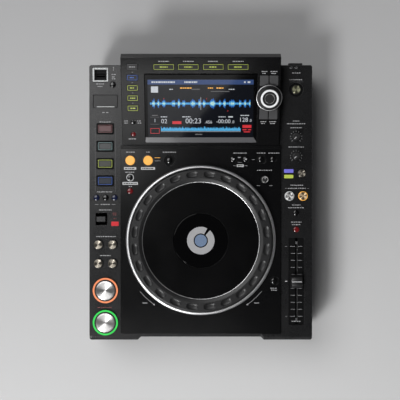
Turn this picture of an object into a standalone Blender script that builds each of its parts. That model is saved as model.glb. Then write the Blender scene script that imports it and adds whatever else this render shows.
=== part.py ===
# Tabletop disc player for DJs: a flat console with a tilted touch screen, a large jog wheel,
# two columns of controls and a slot-in disc drive under the deck.
# Metres, +Z up. The user stands at -Y. The origin is on the table, under the middle of the machine.

import math
from collections import namedtuple

import bmesh
import bpy
from mathutils import Vector

# Overall sizes
OVERALL_DEPTH = 0.4056
CASE_WIDTH = 0.3200
CASE_DEPTH = 0.3944
CASE_TOP = 0.0800
CASE_BOTTOM = 0.0280
COLUMN_WIDTH = 0.04525
WALL = 0.0025
TOP_WALL = 0.0030
CLEARANCE = 0.0003
OVERRUN = 0.0040
MERGE = 0.00001
EDGE_ROUND = 0.0008
CORNER_ROUND = 0.0040

# Front of the case: two corner blocks and a set-back middle with the disc slot
FRONT_SETBACK = 0.0044
FRONT_RECESS_WIDTH = 0.1720
FRONT_CHAMFER_RUN = 0.0048
FRONT_CHAMFER_DROP = 0.0034

# Deck plate round the jog wheel
DECK_THICKNESS = 0.0022
DECK_LEDGE = 0.0030
DECK_GAP = 0.0005
DECK_RAMP_RUN = 0.0045
DECK_RAMP_RISE = 0.0022
COLLAR_WIDTH = 0.0018
COLLAR_RISE = 0.0008
SINK_DEPTH = 0.0006
RELOOP_SINK_WIDTH = 0.0034
DELETE_SINK_WIDTH = 0.0030
RESET_SINK_WIDTH = 0.0026

# Hood with the tilted screen
HOOD_WIDTH = 0.2236
HOOD_FRONT = 0.0765
HOOD_FRONT_HEIGHT = 0.0058
HOOD_TOP_REAR = 0.1965
HOOD_TOP_HEIGHT = 0.1183
HOOD_PROW_DROP = 0.0085
HOOD_FOOT_REAR = 0.1890
HOOD_WALL = 0.0020
HOOD_LEDGE = 0.0060

# Screen: a raised glass block with a sloping lip in front and a sloping right side
GLASS_WIDTH = 0.1581
GLASS_HEIGHT = 0.0972
GLASS_RISE = 0.0032
GLASS_LIP_RUN = 0.0080
GLASS_SIDE_RUN = 0.0048
GLASS_TOE = 0.0005
GLASS_EDGE = 0.0006
GLASS_CORNER = 0.0015
GLASS_SEAT_DEPTH = 0.0008
WINDOW_MARGIN = 0.0045
LCD_THICKNESS = 0.0044

# Jog wheel and what carries it
JOG_RADIUS = 0.1020
JOG_GAP = 0.0010
JOG_HEIGHT = 0.0138
JOG_DROP = 0.0014
JOG_EDGE_RUN = 0.0020
JOG_EDGE_DROP = 0.0022
JOG_RIM_WIDTH = 0.0120
JOG_PLATE_DROP = 0.0018
JOG_PLATE_RADIUS = 0.0826
JOG_PLATE_THICKNESS = 0.0018
JOG_PLATE_EDGE = 0.0004
JOG_LEDGE_WIDTH = 0.0060
JOG_FLOOR_DROP = 0.0024
JOG_FLOOR_THICKNESS = 0.0024
JOG_SKIRT_WALL = 0.0035
JOG_HUB_WALL = 0.0040
JOG_HUB_LENGTH = 0.0110
JOG_TOUCH_GAP = 0.0008
DIMPLE_COUNT = 24
DIMPLE_LENGTH = 0.0164
DIMPLE_WIDTH = 0.0088
DIMPLE_DEPTH = 0.0021
DIMPLE_TILT_DEG = 9
TRIM_WIDTH = 0.0043
TRIM_HEIGHT = 0.0034
TRIM_SLOPE_RUN = 0.0018
TRIM_EDGE = 0.0006
TRIM_SKIRT = 0.0009
TRIM_SKIRT_DEPTH = 0.0020
PILLAR_RADIUS = 0.0330
PILLAR_WALL = 0.0030
PILLAR_FLOOR = 0.0020
PILLAR_DEPTH = 0.0040
PILLAR_RIM_GAP = 0.0030
PILLAR_SHOULDER = 0.0030
LENS_RADIUS = 0.0385
LENS_THICKNESS = 0.0016
LENS_GAP = 0.0004
LENS_SPIGOT_DEPTH = 0.0030

# Keys: every cap has a gap round it and a flange or a web under its panel
KEY_GAP = 0.0003
KEY_EDGE = 0.0004
KEY_FLANGE = 0.0010
KEY_FLANGE_THICKNESS = 0.0012
CUE_DIAMETER = 0.0364
CUE_RISE = 0.0042
LOOP_DIAMETER = 0.0134
LOOP_RISE = 0.0026
SEARCH_DIAMETER = 0.0140
SEARCH_RISE = 0.0030
SYNC_DIAMETER = 0.0134
SYNC_RISE = 0.0028
MODE_DIAMETER = 0.0124
MODE_RISE = 0.0020
EJECT_DIAMETER = 0.0134
EJECT_RISE = 0.0008
EJECT_RING_WIDTH = 0.0034
EJECT_RING_DEPTH = 0.0012
SMALL_DIAMETER = 0.0080
SMALL_RISE = 0.0018
TINY_DIAMETER = 0.0062
TINY_RISE = 0.0012
PAD_LENGTH = 0.0222
PAD_WIDTH = 0.0130
PAD_RISE = 0.0018
SOURCE_LENGTH = 0.0148
SOURCE_WIDTH = 0.0076
BROWSE_LENGTH = 0.0286
BROWSE_WIDTH = 0.0078
HOOD_KEY_RISE = 0.0010
NAV_LENGTH = 0.0120
NAV_WIDTH = 0.0146
NAV_RISE = 0.0008
KEY_CORNER = 0.0012

# Knobs
KNOB_DIAMETER = 0.0112
KNOB_HEIGHT = 0.0090
KNOB_TAPER = 0.0006
KNOB_EDGE = 0.0006
KNOB_SHAFT_DIAMETER = 0.0060
KNOB_SHAFT_DEPTH = 0.0080
KNOB_LIFT = 0.0004
KNOB_MARK_WIDTH = 0.0009
KNOB_MARK_DEPTH = 0.0005
KNOB_LOW_DEG = 135
SELECTOR_DIAMETER = 0.0366
SELECTOR_SKIRT_RISE = 0.0030
SELECTOR_SKIRT_EDGE = 0.0010
SELECTOR_CAP_DIAMETER = 0.0252
SELECTOR_HEIGHT = 0.0115
SELECTOR_RING_WIDTH = 0.0026
SELECTOR_DISH = 0.0010
SELECTOR_LIFT = 0.0024
SELECTOR_SHAFT_DIAMETER = 0.0060
SELECTOR_SOCKET_DEPTH = 0.0030
SELECTOR_GUIDE_WALL = 0.0018
SELECTOR_GUIDE_DEPTH = 0.0060
SELECTOR_STOP_WIDTH = 0.0012
SELECTOR_STOP_THICKNESS = 0.0015

# Direction lever
LEVER_SLOT_LENGTH = 0.0163
LEVER_SLOT_WIDTH = 0.0173
LEVER_LENGTH = 0.0135
LEVER_WIDTH = 0.0080
LEVER_RISE = 0.0060
LEVER_PIVOT_DROP = 0.0055
LEVER_PIN_DIAMETER = 0.0024
LEVER_EAR_WALL = 0.0016
LEVER_EAR_WIDTH = 0.0070

# Tempo fader
FADER_TRAVEL = 0.1000
FADER_RECESS_MARGIN = 0.0030
FADER_RECESS_WIDTH = 0.0220
FADER_RECESS_DEPTH = 0.0012
FADER_KNOB_LENGTH = 0.0190
FADER_KNOB_WIDTH = 0.0174
FADER_KNOB_HEIGHT = 0.0105
FADER_KNOB_FLARE = 0.0016
FADER_KNOB_LIFT = 0.0005
FADER_GROOVE_WIDTH = 0.0060
FADER_GROOVE_DEPTH = 0.0018
FADER_BLADE_WIDTH = 0.0016
FADER_BLADE_LENGTH = 0.0060
FADER_SLOT_GAP = 0.0006
FADER_BODY_WALL = 0.0014
FADER_CARRIAGE_WIDTH = 0.0084
FADER_CARRIAGE_HEIGHT = 0.0050
FADER_CARRIAGE_LENGTH = 0.0100

# USB socket and memory card door
USB_FRAME_LENGTH = 0.0222
USB_FRAME_WIDTH = 0.0200
USB_FRAME_RISE = 0.0008
USB_FRAME_MARGIN = 0.0018
USB_WELL_DEPTH = 0.0060
USB_FLOOR = 0.0014
USB_SOCKET_LENGTH = 0.0125
USB_SOCKET_WIDTH = 0.0051
USB_SOCKET_DEPTH = 0.0120
USB_SHELL_WALL = 0.0014
USB_TONGUE_LENGTH = 0.0111
USB_TONGUE_WIDTH = 0.0018
USB_TONGUE_SETBACK = 0.0012
DOOR_LENGTH = 0.0344
DOOR_WIDTH = 0.0178
DOOR_THICKNESS = 0.0018
DOOR_GAP = 0.0004
DOOR_BARREL_DIAMETER = 0.0028
DOOR_PIN_DIAMETER = 0.0014
DOOR_PIN_LENGTH = 0.0016
DOOR_NOTCH_LENGTH = 0.0120
DOOR_NOTCH_WIDTH = 0.0010
CARD_WELL_DEPTH = 0.0095
CARD_WELL_WALL = 0.0014
CARD_SLOT_LENGTH = 0.0246
CARD_SLOT_WIDTH = 0.0026
CARD_BODY_DEPTH = 0.0220
CARD_BODY_WALL = 0.0014

# Disc slot and drive
SLOT_HEIGHT = 0.0500
SLOT_LENGTH = 0.1270
SLOT_GAP = 0.0060
SLOT_FLARE = 0.0010
BEZEL_LENGTH = 0.1420
BEZEL_WIDTH = 0.0130
BEZEL_FLANGE = 0.0025
BEZEL_PROUD = 0.0014
BEZEL_DEPTH = 0.0050
BEZEL_CORNER = 0.0030
DRIVE_WIDTH = 0.1440
DRIVE_DEPTH = 0.1340
DRIVE_SETBACK = 0.0030
DRIVE_BOTTOM = 0.0240
DRIVE_SHEET = 0.0014
DRIVE_HEADROOM = 0.0045
DRIVE_LIP = 0.0015
DRIVE_RIB_WIDTH = 0.0040
DRIVE_RIB_DROP = 0.0010
DISC_RADIUS = 0.0600
ROLLER_DIAMETER = 0.0064
ROLLER_WAIST = 0.0006
ROLLER_DROP = 0.0030
ROLLER_SETBACK = 0.0085
ROLLER_SHAFT_DIAMETER = 0.0026
SHAFT_GAP = 0.0002
MOTOR_DIAMETER = 0.0260
MOTOR_GAP = 0.0008
TURNTABLE_DIAMETER = 0.0310
TURNTABLE_THICKNESS = 0.0018
SPINDLE_DROP = 0.0032
SPINDLE_HUB_DIAMETER = 0.0146
SPINDLE_HUB_RISE = 0.0012
SPINDLE_SHAFT_DIAMETER = 0.0024
SPINDLE_SHAFT_LENGTH = 0.0080

# Tray, feet, posts and boards
TRAY_BOTTOM = 0.0140
TRAY_SHEET = 0.0015
TRAY_TOP = 0.0350
FOOT_DIAMETER = 0.0340
FOOT_TAPER = 0.0020
FOOT_EDGE = 0.0015
FOOT_INSET = 0.0330
POST_DIAMETER = 0.0070
POST_INSET = 0.0080
VENT_COUNT = 8
VENT_LENGTH = 0.0400
VENT_WIDTH = 0.0026
VENT_PITCH = 0.0080
BOARD_THICKNESS = 0.0016
MAIN_BOARD_WIDTH = 0.1700
POWER_BOARD_WIDTH = 0.0800
BOARD_DEPTH = 0.1350
BOARD_SPACING = 0.0100
BOARD_REAR_GAP = 0.0300
CHIP_HEIGHT = 0.0016
CHIP_SIDE = 0.0220
HEATSINK_SIDE = 0.0300
HEATSINK_HEIGHT = 0.0140
HEATSINK_FIN = 0.0020
HEATSINK_BASE = 0.0030
FIN_COUNT = 5
CAPACITOR_DIAMETER = 0.0180
CAPACITOR_HEIGHT = 0.0240
TRANSFORMER_SIDE = 0.0320
TRANSFORMER_HEIGHT = 0.0220

# Rear panel and sockets
REAR_WINDOW_LENGTH = 0.2400
REAR_WINDOW_BOTTOM = 0.0390
REAR_WINDOW_TOP = 0.0680
REAR_PANEL_LAP = 0.0030
REAR_PANEL_SHEET = 0.0015
SOCKET_HEIGHT = 0.0535
INLET_LENGTH = 0.0272
INLET_WIDTH = 0.0198
INLET_FLANGE = 0.0020
INLET_FLANGE_THICKNESS = 0.0018
INLET_BODY_DEPTH = 0.0200
INLET_WALL = 0.0016
INLET_RECESS_DEPTH = 0.0170
INLET_CORNER = 0.0036
INLET_PIN_LENGTH = 0.0110
INLET_PIN_THICKNESS = 0.0020
INLET_PIN_WIDTH = 0.0040
INLET_PIN_PITCH = 0.0070
INLET_EARTH_OFFSET = 0.0020
PHONO_DIAMETER = 0.0082
PHONO_BORE_DIAMETER = 0.0032
PHONO_LENGTH = 0.0090
PHONO_PITCH = 0.0160
PHONO_COUNT = 4
PHONO_BORE_DEPTH = 0.0140
SOCKET_BLOCK_WIDTH = 0.0140
SOCKET_BLOCK_DEPTH = 0.0120
SOCKET_WALL = 0.0020
NETWORK_MOUTH_LENGTH = 0.0118
NETWORK_MOUTH_WIDTH = 0.0084
NETWORK_LATCH_LENGTH = 0.0060
NETWORK_LATCH_WIDTH = 0.0020
NETWORK_DEPTH = 0.0160
NETWORK_MOUTH_DEPTH = 0.0130
DEVICE_MOUTH_LENGTH = 0.0085
DEVICE_MOUTH_WIDTH = 0.0078
DEVICE_TONGUE_LENGTH = 0.0056
DEVICE_TONGUE_WIDTH = 0.0030
DEVICE_MOUTH_DEPTH = 0.0100
SOCKET_SPACING = 0.0300

# Power button in the rear face
POWER_LENGTH = 0.0205
POWER_HEIGHT = 0.0080
POWER_PROUD = 0.0036
POWER_DROP = 0.0020

# Round shapes
ROUND_STEPS = 12
SMALL_STEPS = 10
TINY_STEPS = 8
POST_STEPS = 6
CUE_STEPS = 20
JOG_STEPS = 40
HUB_STEPS = 24
DIMPLE_STEPS = 8
CORNER_STEPS = 1
CASE_CORNER_STEPS = 3

# How a cap's top is turned: share of its radius, share of its rise
PLAIN_CROWN_SHARES = ((0, 1), (0.88, 1), (1, 0.72))
DISHED_CROWN_SHARES = ((0, 0.76), (0.86, 1), (1, 0.80))
RINGED_CROWN_SHARES = ((0, 0.95), (0.68, 1), (0.735, 0.90), (0.745, 0.45), (0.94, 0.50), (1, 0.36))

# Places on the columns: share of the column's width from its outer edge, share of the case's depth
# from its front
USB_SHARES = (0.3547, 0.9644)
USB_STOP_SHARES = (0.7514, 0.9288)
DOOR_SHARES = (0.5127, 0.8683)
PAD_SHARES = ((0.4970, 0.7680), (0.4970, 0.7044), (0.4970, 0.6412), (0.4970, 0.5786))
BANK_SHARES = ((0.2343, 0.5175), (0.5238, 0.5175), (0.8088, 0.5175))
LEVER_SHARES = (0.3867, 0.4402)
TRACK_SHARES = ((0.2917, 0.3469), (0.7381, 0.3469))
SEARCH_SHARES = ((0.2917, 0.2786), (0.7381, 0.2786))
CUE_SHARES = (0.5171, 0.1805)
PLAY_SHARES = (0.5171, 0.0640)
EJECT_SHARES = (0.5105, 0.9105)
TOUCH_SHARES = (0.5149, 0.7383)
RELEASE_SHARES = (0.5149, 0.6684)
MODE_SHARES = (0.3337, 0.6060)
SYNC_SHARES = (0.7293, 0.5236)
MASTER_SHARES = (0.2983, 0.5236)
TEMPO_KEY_SHARES = ((0.5083, 0.4625), (0.5083, 0.4019))
FADER_SHARES = (0.5061, 0.2132)
POWER_SHARE = 0.5227

# Places on the deck: share of the deck's half width from its middle, share of the case's depth
JOG_SHARES = (0.0, 0.3633)
LOOP_IN_SHARES = (-0.8793, 0.6531)
LOOP_OUT_SHARES = (-0.6571, 0.6531)
RELOOP_SHARES = (-0.3895, 0.6531)
BEAT_SLIP_SHARES = ((-0.8810, 0.5905), (-0.8810, 0.5418))
CALL_SHARES = ((0.4070, 0.6570), (0.5630, 0.6570), (0.7529, 0.6570), (0.9054, 0.6570))
JOG_ADJUST_SHARES = (0.7956, 0.5827)
TEMPO_RESET_SHARES = (0.9142, 0.2155)

# Places on the hood: share of its half width, share of the length of its slope from the front
GLASS_SHARES = (0.0022, 0.4200)
SOURCE_SHARES = ((-0.8560, 0.890), (-0.8560, 0.771), (-0.8560, 0.655), (-0.8560, 0.540), (-0.8560, 0.425))
HOOD_ROUND_SHARES = ((-0.8560, 0.264), (-0.8560, 0.125))
BROWSE_SHARES = ((-0.4615, 0.889), (-0.1560, 0.889), (0.1560, 0.889), (0.4640, 0.889))
SELECTOR_SHARES = (0.8578, 0.5465)
NAV_SHARES = ((0.7940, 0.7360), (0.9140, 0.7360), (0.7940, 0.3565), (0.9140, 0.3565))

# Places on the rear panel: share of the window's half length from its middle
INLET_SHARE = 0.74
DATA_SHARE = 0.10
AUDIO_SHARE = -0.55

# Worked out from the sizes above
CASE_FRONT = -OVERALL_DEPTH / 2
HOOD_TIP = OVERALL_DEPTH / 2
CASE_REAR = CASE_FRONT + CASE_DEPTH
MIDDLE_FRONT = CASE_FRONT + FRONT_SETBACK
CASE_UNDER_TOP = CASE_TOP - TOP_WALL
DECK_WIDTH = CASE_WIDTH - 2 * COLUMN_WIDTH
DECK_FRONT = MIDDLE_FRONT + FRONT_CHAMFER_RUN
DECK_REAR = HOOD_FRONT - DECK_GAP
DECK_UNDER = CASE_TOP + CLEARANCE
DECK_TOP = DECK_UNDER + DECK_THICKNESS
HOOD_UNDER = CASE_TOP + CLEARANCE
HOOD_FRONT_TOP = HOOD_UNDER + HOOD_FRONT_HEIGHT
HOOD_TILT = math.atan2(HOOD_TOP_HEIGHT - HOOD_FRONT_TOP, HOOD_TOP_REAR - HOOD_FRONT)
HOOD_SLOPE = math.hypot(HOOD_TOP_HEIGHT - HOOD_FRONT_TOP, HOOD_TOP_REAR - HOOD_FRONT)
JOG_TOP = DECK_TOP + JOG_HEIGHT
JOG_BOTTOM = DECK_TOP - JOG_DROP
JOG_RIM_INNER = JOG_RADIUS - JOG_EDGE_RUN - JOG_RIM_WIDTH
PLATE_TOP = JOG_TOP - JOG_PLATE_DROP
PLATE_UNDER = PLATE_TOP - JOG_PLATE_THICKNESS
PLATE_SEAT = PLATE_UNDER - JOG_TOUCH_GAP
TRIM_INNER = JOG_RADIUS + JOG_GAP
TRIM_OUTER = TRIM_INNER + TRIM_WIDTH
TRIM_BASE = DECK_TOP + CLEARANCE
DECK_HOLE_RADIUS = TRIM_INNER + TRIM_SKIRT + CLEARANCE
PILLAR_TOP = PLATE_TOP - LENS_THICKNESS - CLEARANCE
PILLAR_FLOOR_TOP = DECK_UNDER - CLEARANCE - PILLAR_DEPTH
REAR_INNER = CASE_REAR - WALL
PANEL_OUTER = REAR_INNER - CLEARANCE
PANEL_INNER = PANEL_OUTER - REAR_PANEL_SHEET
TRAY_FLOOR = TRAY_BOTTOM + TRAY_SHEET
TRAY_INSET = WALL + CLEARANCE
DRIVE_FRONT = MIDDLE_FRONT + BEZEL_DEPTH + DRIVE_SETBACK
DRIVE_REAR = DRIVE_FRONT + DRIVE_DEPTH
DRIVE_TOP = SLOT_HEIGHT + DRIVE_HEADROOM
ROLLER_PLACE = (0, DRIVE_FRONT + ROLLER_SETBACK, SLOT_HEIGHT - ROLLER_DROP - ROLLER_DIAMETER / 2)
TURNTABLE_TOP = SLOT_HEIGHT - SPINDLE_DROP - SPINDLE_HUB_RISE
MOTOR_TOP = TURNTABLE_TOP - TURNTABLE_THICKNESS - MOTOR_GAP
SPINDLE_PLACE = (0, DRIVE_REAR - DRIVE_SHEET - DISC_RADIUS, TURNTABLE_TOP)
BOARD_BOTTOM = DRIVE_BOTTOM
BOARD_REAR = REAR_INNER - BOARD_REAR_GAP
BOARD_LEFT = -(MAIN_BOARD_WIDTH + BOARD_SPACING + POWER_BOARD_WIDTH) / 2
POWER_BOARD_LEFT = BOARD_LEFT + MAIN_BOARD_WIDTH + BOARD_SPACING

LEFT = -1
RIGHT = 1

# A panel has the heights of its two faces, and the empty whose axes it lies in.
Panel = namedtuple("Panel", "top under parent")
# A cap has its place on its panel, its size, how far it rises and, unless it is round, its corners.
Cap = namedtuple("Cap", "place length width rise corner steps")


def clear_scene():
    for old in list(bpy.data.objects):
        bpy.data.objects.remove(old)


def new_collection(name):
    made = bpy.data.collections.new(name)
    bpy.context.scene.collection.children.link(made)
    return made


clear_scene()
PARTS = new_collection("disc_player")
CUTTERS = new_collection("cutters")
CUTTERS.hide_render = True


def finish(name, colour, roughness, metallic=0.0):
    """One Principled material for a kind of surface."""
    made = bpy.data.materials.new(name)
    made.use_nodes = True
    shader = made.node_tree.nodes["Principled BSDF"]
    shader.inputs["Base Color"].default_value = (*colour, 1.0)
    shader.inputs["Roughness"].default_value = roughness
    shader.inputs["Metallic"].default_value = metallic
    return made


CASE_PLASTIC = finish("case_plastic", (0.030, 0.030, 0.033), 0.55)
DECK_GLOSS = finish("deck_gloss", (0.012, 0.012, 0.013), 0.22)
HOOD_GLOSS = finish("hood_gloss", (0.012, 0.012, 0.013), 0.18)
SCREEN_GLASS = finish("screen_glass", (0.004, 0.004, 0.005), 0.05)
SHEET_STEEL = finish("sheet_steel", (0.045, 0.045, 0.048), 0.45, 0.6)
BARE_STEEL = finish("bare_steel", (0.55, 0.55, 0.56), 0.35, 1.0)
TURNED_METAL = finish("turned_metal", (0.62, 0.62, 0.63), 0.28, 1.0)
POLISHED_METAL = finish("polished_metal", (0.75, 0.75, 0.76), 0.16, 1.0)
JOG_PLASTIC = finish("jog_plastic", (0.045, 0.045, 0.047), 0.50)
PLATE_BLACK = finish("plate_black", (0.006, 0.006, 0.007), 0.38)
KEY_BLACK = finish("key_black", (0.015, 0.015, 0.016), 0.40)
KEY_AMBER = finish("key_amber", (0.90, 0.42, 0.06), 0.35)
PAD_RUBBER = finish("pad_rubber", (0.060, 0.060, 0.062), 0.60)
FRAME_WHITE = finish("frame_white", (0.75, 0.77, 0.78), 0.35)
SOCKET_BLACK = finish("socket_black", (0.010, 0.010, 0.010), 0.50)
BOARD_GREEN = finish("board_green", (0.010, 0.070, 0.030), 0.45)
ROLLER_RUBBER = finish("roller_rubber", (0.020, 0.020, 0.020), 0.85)


def place_object(obj, surface, place, parent):
    """Links a new object, gives it its finish, its place and its parent."""
    PARTS.objects.link(obj)
    if surface:
        obj.data.materials.append(surface)
    obj.location = place
    obj.parent = parent
    return obj


def face_outwards(work):
    """Turns every face of a closed shape outwards."""
    bmesh.ops.recalc_face_normals(work, faces=work.faces)
    if work.calc_volume(signed=True) < 0:
        bmesh.ops.reverse_faces(work, faces=work.faces)


def inset(outline, distance):
    """The same anticlockwise outline with every side moved inwards by a distance."""
    moved = []
    for index, point in enumerate(outline):
        before = (Vector(point) - Vector(outline[index - 1])).normalized()
        after = (Vector(outline[(index + 1) % len(outline)]) - Vector(point)).normalized()
        inward = Vector((-before.y, before.x))
        normal = (inward + Vector((-after.y, after.x))).normalized()
        corner = Vector(point) + normal * distance / normal.dot(inward)
        moved.append(tuple(corner))
    return moved


def filleted(outline, radii):
    """The same outline with an arc at each corner that has a radius."""
    points = []
    for index, (point, radius) in enumerate(zip(outline, radii)):
        if not radius:
            points.append(point)
            continue
        corner = Vector(point)
        before = (Vector(outline[index - 1]) - corner).normalized()
        after = (Vector(outline[(index + 1) % len(outline)]) - corner).normalized()
        half = before.angle(after) / 2
        centre = corner + (before + after).normalized() * radius / math.sin(half)
        start = corner + before * radius / math.tan(half) - centre
        end = corner + after * radius / math.tan(half) - centre
        for step in range(CASE_CORNER_STEPS + 1):
            arm = start.lerp(end, step / CASE_CORNER_STEPS).normalized() * radius
            points.append(tuple(centre + arm))
    return points


def plate(name, outline, low, high, surface=None, place=(0, 0, 0), parent=None):
    """A flat outline given a thickness: a filled 2D curve, made a mesh with its caps welded."""
    curve = bpy.data.curves.new(name, "CURVE")
    curve.dimensions = "2D"
    curve.fill_mode = "BOTH"
    curve.extrude = (high - low) / 2
    spline = curve.splines.new("POLY")
    spline.points.add(len(outline) - 1)
    for point, (x, y) in zip(spline.points, outline):
        point.co = (x, y, 0, 1)
    spline.use_cyclic_u = True
    guide = bpy.data.objects.new(name, curve)
    PARTS.objects.link(guide)
    guide.location = (0, 0, (low + high) / 2)
    bpy.context.view_layer.update()
    graph = bpy.context.evaluated_depsgraph_get()
    mesh = bpy.data.meshes.new_from_object(guide.evaluated_get(graph))
    mesh.transform(guide.matrix_world)
    bpy.data.objects.remove(guide)
    work = bmesh.new()
    work.from_mesh(mesh)
    bmesh.ops.remove_doubles(work, verts=work.verts, dist=MERGE)
    bmesh.ops.dissolve_limit(work, angle_limit=math.radians(1), verts=work.verts, edges=work.edges)
    face_outwards(work)
    work.to_mesh(mesh)
    work.free()
    mesh.name = name
    return place_object(bpy.data.objects.new(name, mesh), surface, place, parent)


def side_plate(name, outline, x_low, x_high, surface=None):
    """A side view, drawn in Y and Z, given a length along X."""
    made = plate(name, outline, x_low, x_high, surface)
    for vertex in made.data.vertices:
        vertex.co = (vertex.co.z, vertex.co.x, vertex.co.y)
    return made


def rounded(half_x, half_y, corner):
    """An anticlockwise rectangle about the origin, with round corners."""
    points = []
    for quarter in range(4):
        centre_x = (half_x - corner) * (1 if quarter in (0, 3) else -1)
        centre_y = (half_y - corner) * (1 if quarter in (0, 1) else -1)
        for step in range(CORNER_STEPS + 1):
            angle = (quarter + step / CORNER_STEPS) * math.pi / 2
            points.append((centre_x + corner * math.cos(angle), centre_y + corner * math.sin(angle)))
    return points


def block(name, length, width, corner, levels, surface=None, place=(0, 0, 0), parent=None):
    """A rounded rectangle drawn up through levels: each has a height, and how far its side stands out."""
    work = bmesh.new()
    (first_height, first_out), *others = levels
    points = rounded(length / 2 + first_out, width / 2 + first_out, corner + first_out)
    ring = [work.verts.new((x, y, first_height)) for x, y in points]
    bottom = work.faces.new(ring)
    top = bottom
    for height, out in others:
        made = bmesh.ops.extrude_face_region(work, geom=[top])["geom"]
        if top is not bottom:
            bmesh.ops.delete(work, geom=[top], context="FACES_ONLY")
        raised = [item for item in made if isinstance(item, bmesh.types.BMVert)]
        top = next(item for item in made if isinstance(item, bmesh.types.BMFace))
        ring = [min(raised, key=lambda new: (new.co - old.co).length) for old in ring]
        for vertex, (x, y) in zip(ring, rounded(length / 2 + out, width / 2 + out, corner + out)):
            vertex.co = (x, y, height)
    face_outwards(work)
    mesh = bpy.data.meshes.new(name)
    work.to_mesh(mesh)
    work.free()
    return place_object(bpy.data.objects.new(name, mesh), surface, place, parent)


def box(name, low, high, surface=None, parent=None):
    """A plain box between two corners, from a cube."""
    work = bmesh.new()
    bmesh.ops.create_cube(work, size=1)
    bmesh.ops.scale(work, vec=[b - a for a, b in zip(low, high)], verts=work.verts)
    bmesh.ops.translate(work, vec=[(a + b) / 2 for a, b in zip(low, high)], verts=work.verts)
    mesh = bpy.data.meshes.new(name)
    work.to_mesh(mesh)
    work.free()
    return place_object(bpy.data.objects.new(name, mesh), surface, (0, 0, 0), parent)


def turned(name, profile, surface=None, place=(0, 0, 0), parent=None, steps=ROUND_STEPS, ring=False):
    """Radii and heights, top to bottom on the outer side, turned about Z by a Screw."""
    mesh = bpy.data.meshes.new(name)
    edges = [(i, i + 1) for i in range(len(profile) - 1)]
    if ring:
        edges.append((len(profile) - 1, 0))
    mesh.from_pydata([(radius, 0, height) for radius, height in profile], edges, [])
    obj = place_object(bpy.data.objects.new(name, mesh), surface, place, parent)
    screw = obj.modifiers.new("turn", "SCREW")
    screw.steps = steps
    screw.render_steps = steps
    screw.use_merge_vertices = True
    screw.merge_threshold = MERGE
    screw.use_smooth_shade = True
    return obj


def cylinder(name, radius, low, high, place=(0, 0, 0), parent=None, steps=ROUND_STEPS):
    return turned(name, [(0, high), (radius, high), (radius, low), (0, low)], None, place, parent, steps)


def combine(target, tools, operation="DIFFERENCE"):
    """Cuts or joins a group of helpers with one exact Boolean."""
    group = bpy.data.collections.new(f"{target.name}_{operation.lower()}_{len(target.modifiers)}")
    CUTTERS.children.link(group)
    for tool in tools:
        PARTS.objects.unlink(tool)
        group.objects.link(tool)
        tool.hide_render = True
        tool.display_type = "WIRE"
    step = target.modifiers.new(operation.lower(), "BOOLEAN")
    step.operation = operation
    step.operand_type = "COLLECTION"
    step.collection = group
    step.solver = "EXACT"
    return target


def soften(obj, width, segments=2):
    """Rounds the sharp edges of an outer shape."""
    bevel = obj.modifiers.new("edges", "BEVEL")
    bevel.width = width
    bevel.segments = segments
    bevel.limit_method = "ANGLE"
    return obj


def along_x(obj):
    """Lays a shape made along Z down, so that it runs along X."""
    obj.rotation_euler = (0, math.pi / 2, 0)
    return obj


def facing_rear(obj, place):
    """Turns a shape that faces +Z to face the rear, at a place."""
    obj.rotation_euler = (-math.pi / 2, 0, 0)
    obj.location = place
    return obj


def facing_front(obj, place):
    """Turns a shape that faces +Z to face the user, at a place."""
    obj.rotation_euler = (math.pi / 2, 0, 0)
    obj.location = place
    return obj


def column_place(side, shares):
    return side * (CASE_WIDTH / 2 - shares[0] * COLUMN_WIDTH), CASE_FRONT + shares[1] * CASE_DEPTH


def deck_place(shares):
    return shares[0] * DECK_WIDTH / 2, CASE_FRONT + shares[1] * CASE_DEPTH


def hood_place(shares):
    return shares[0] * HOOD_WIDTH / 2, shares[1] * HOOD_SLOPE


def make_hood_frame():
    """An empty whose XY plane is the hood's slope, with its origin at the middle of the front edge."""
    empty = bpy.data.objects.new("hood_frame", None)
    PARTS.objects.link(empty)
    empty.location = (0, HOOD_FRONT, HOOD_FRONT_TOP)
    empty.rotation_euler = (HOOD_TILT, 0, 0)
    return empty


HOOD_FRAME = make_hood_frame()
JOG_PLACE = deck_place(JOG_SHARES)
COLUMN_PANEL = Panel(CASE_TOP, CASE_UNDER_TOP, None)
DECK_PANEL = Panel(DECK_TOP, DECK_UNDER, None)
HOOD_PANEL = Panel(0, -HOOD_WALL, HOOD_FRAME)


def round_cap(place, diameter, rise, steps=ROUND_STEPS):
    return Cap(place, diameter, diameter, rise, 0, steps)


def long_cap(place, length, width, rise):
    return Cap(place, length, width, rise, KEY_CORNER, 0)


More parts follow.
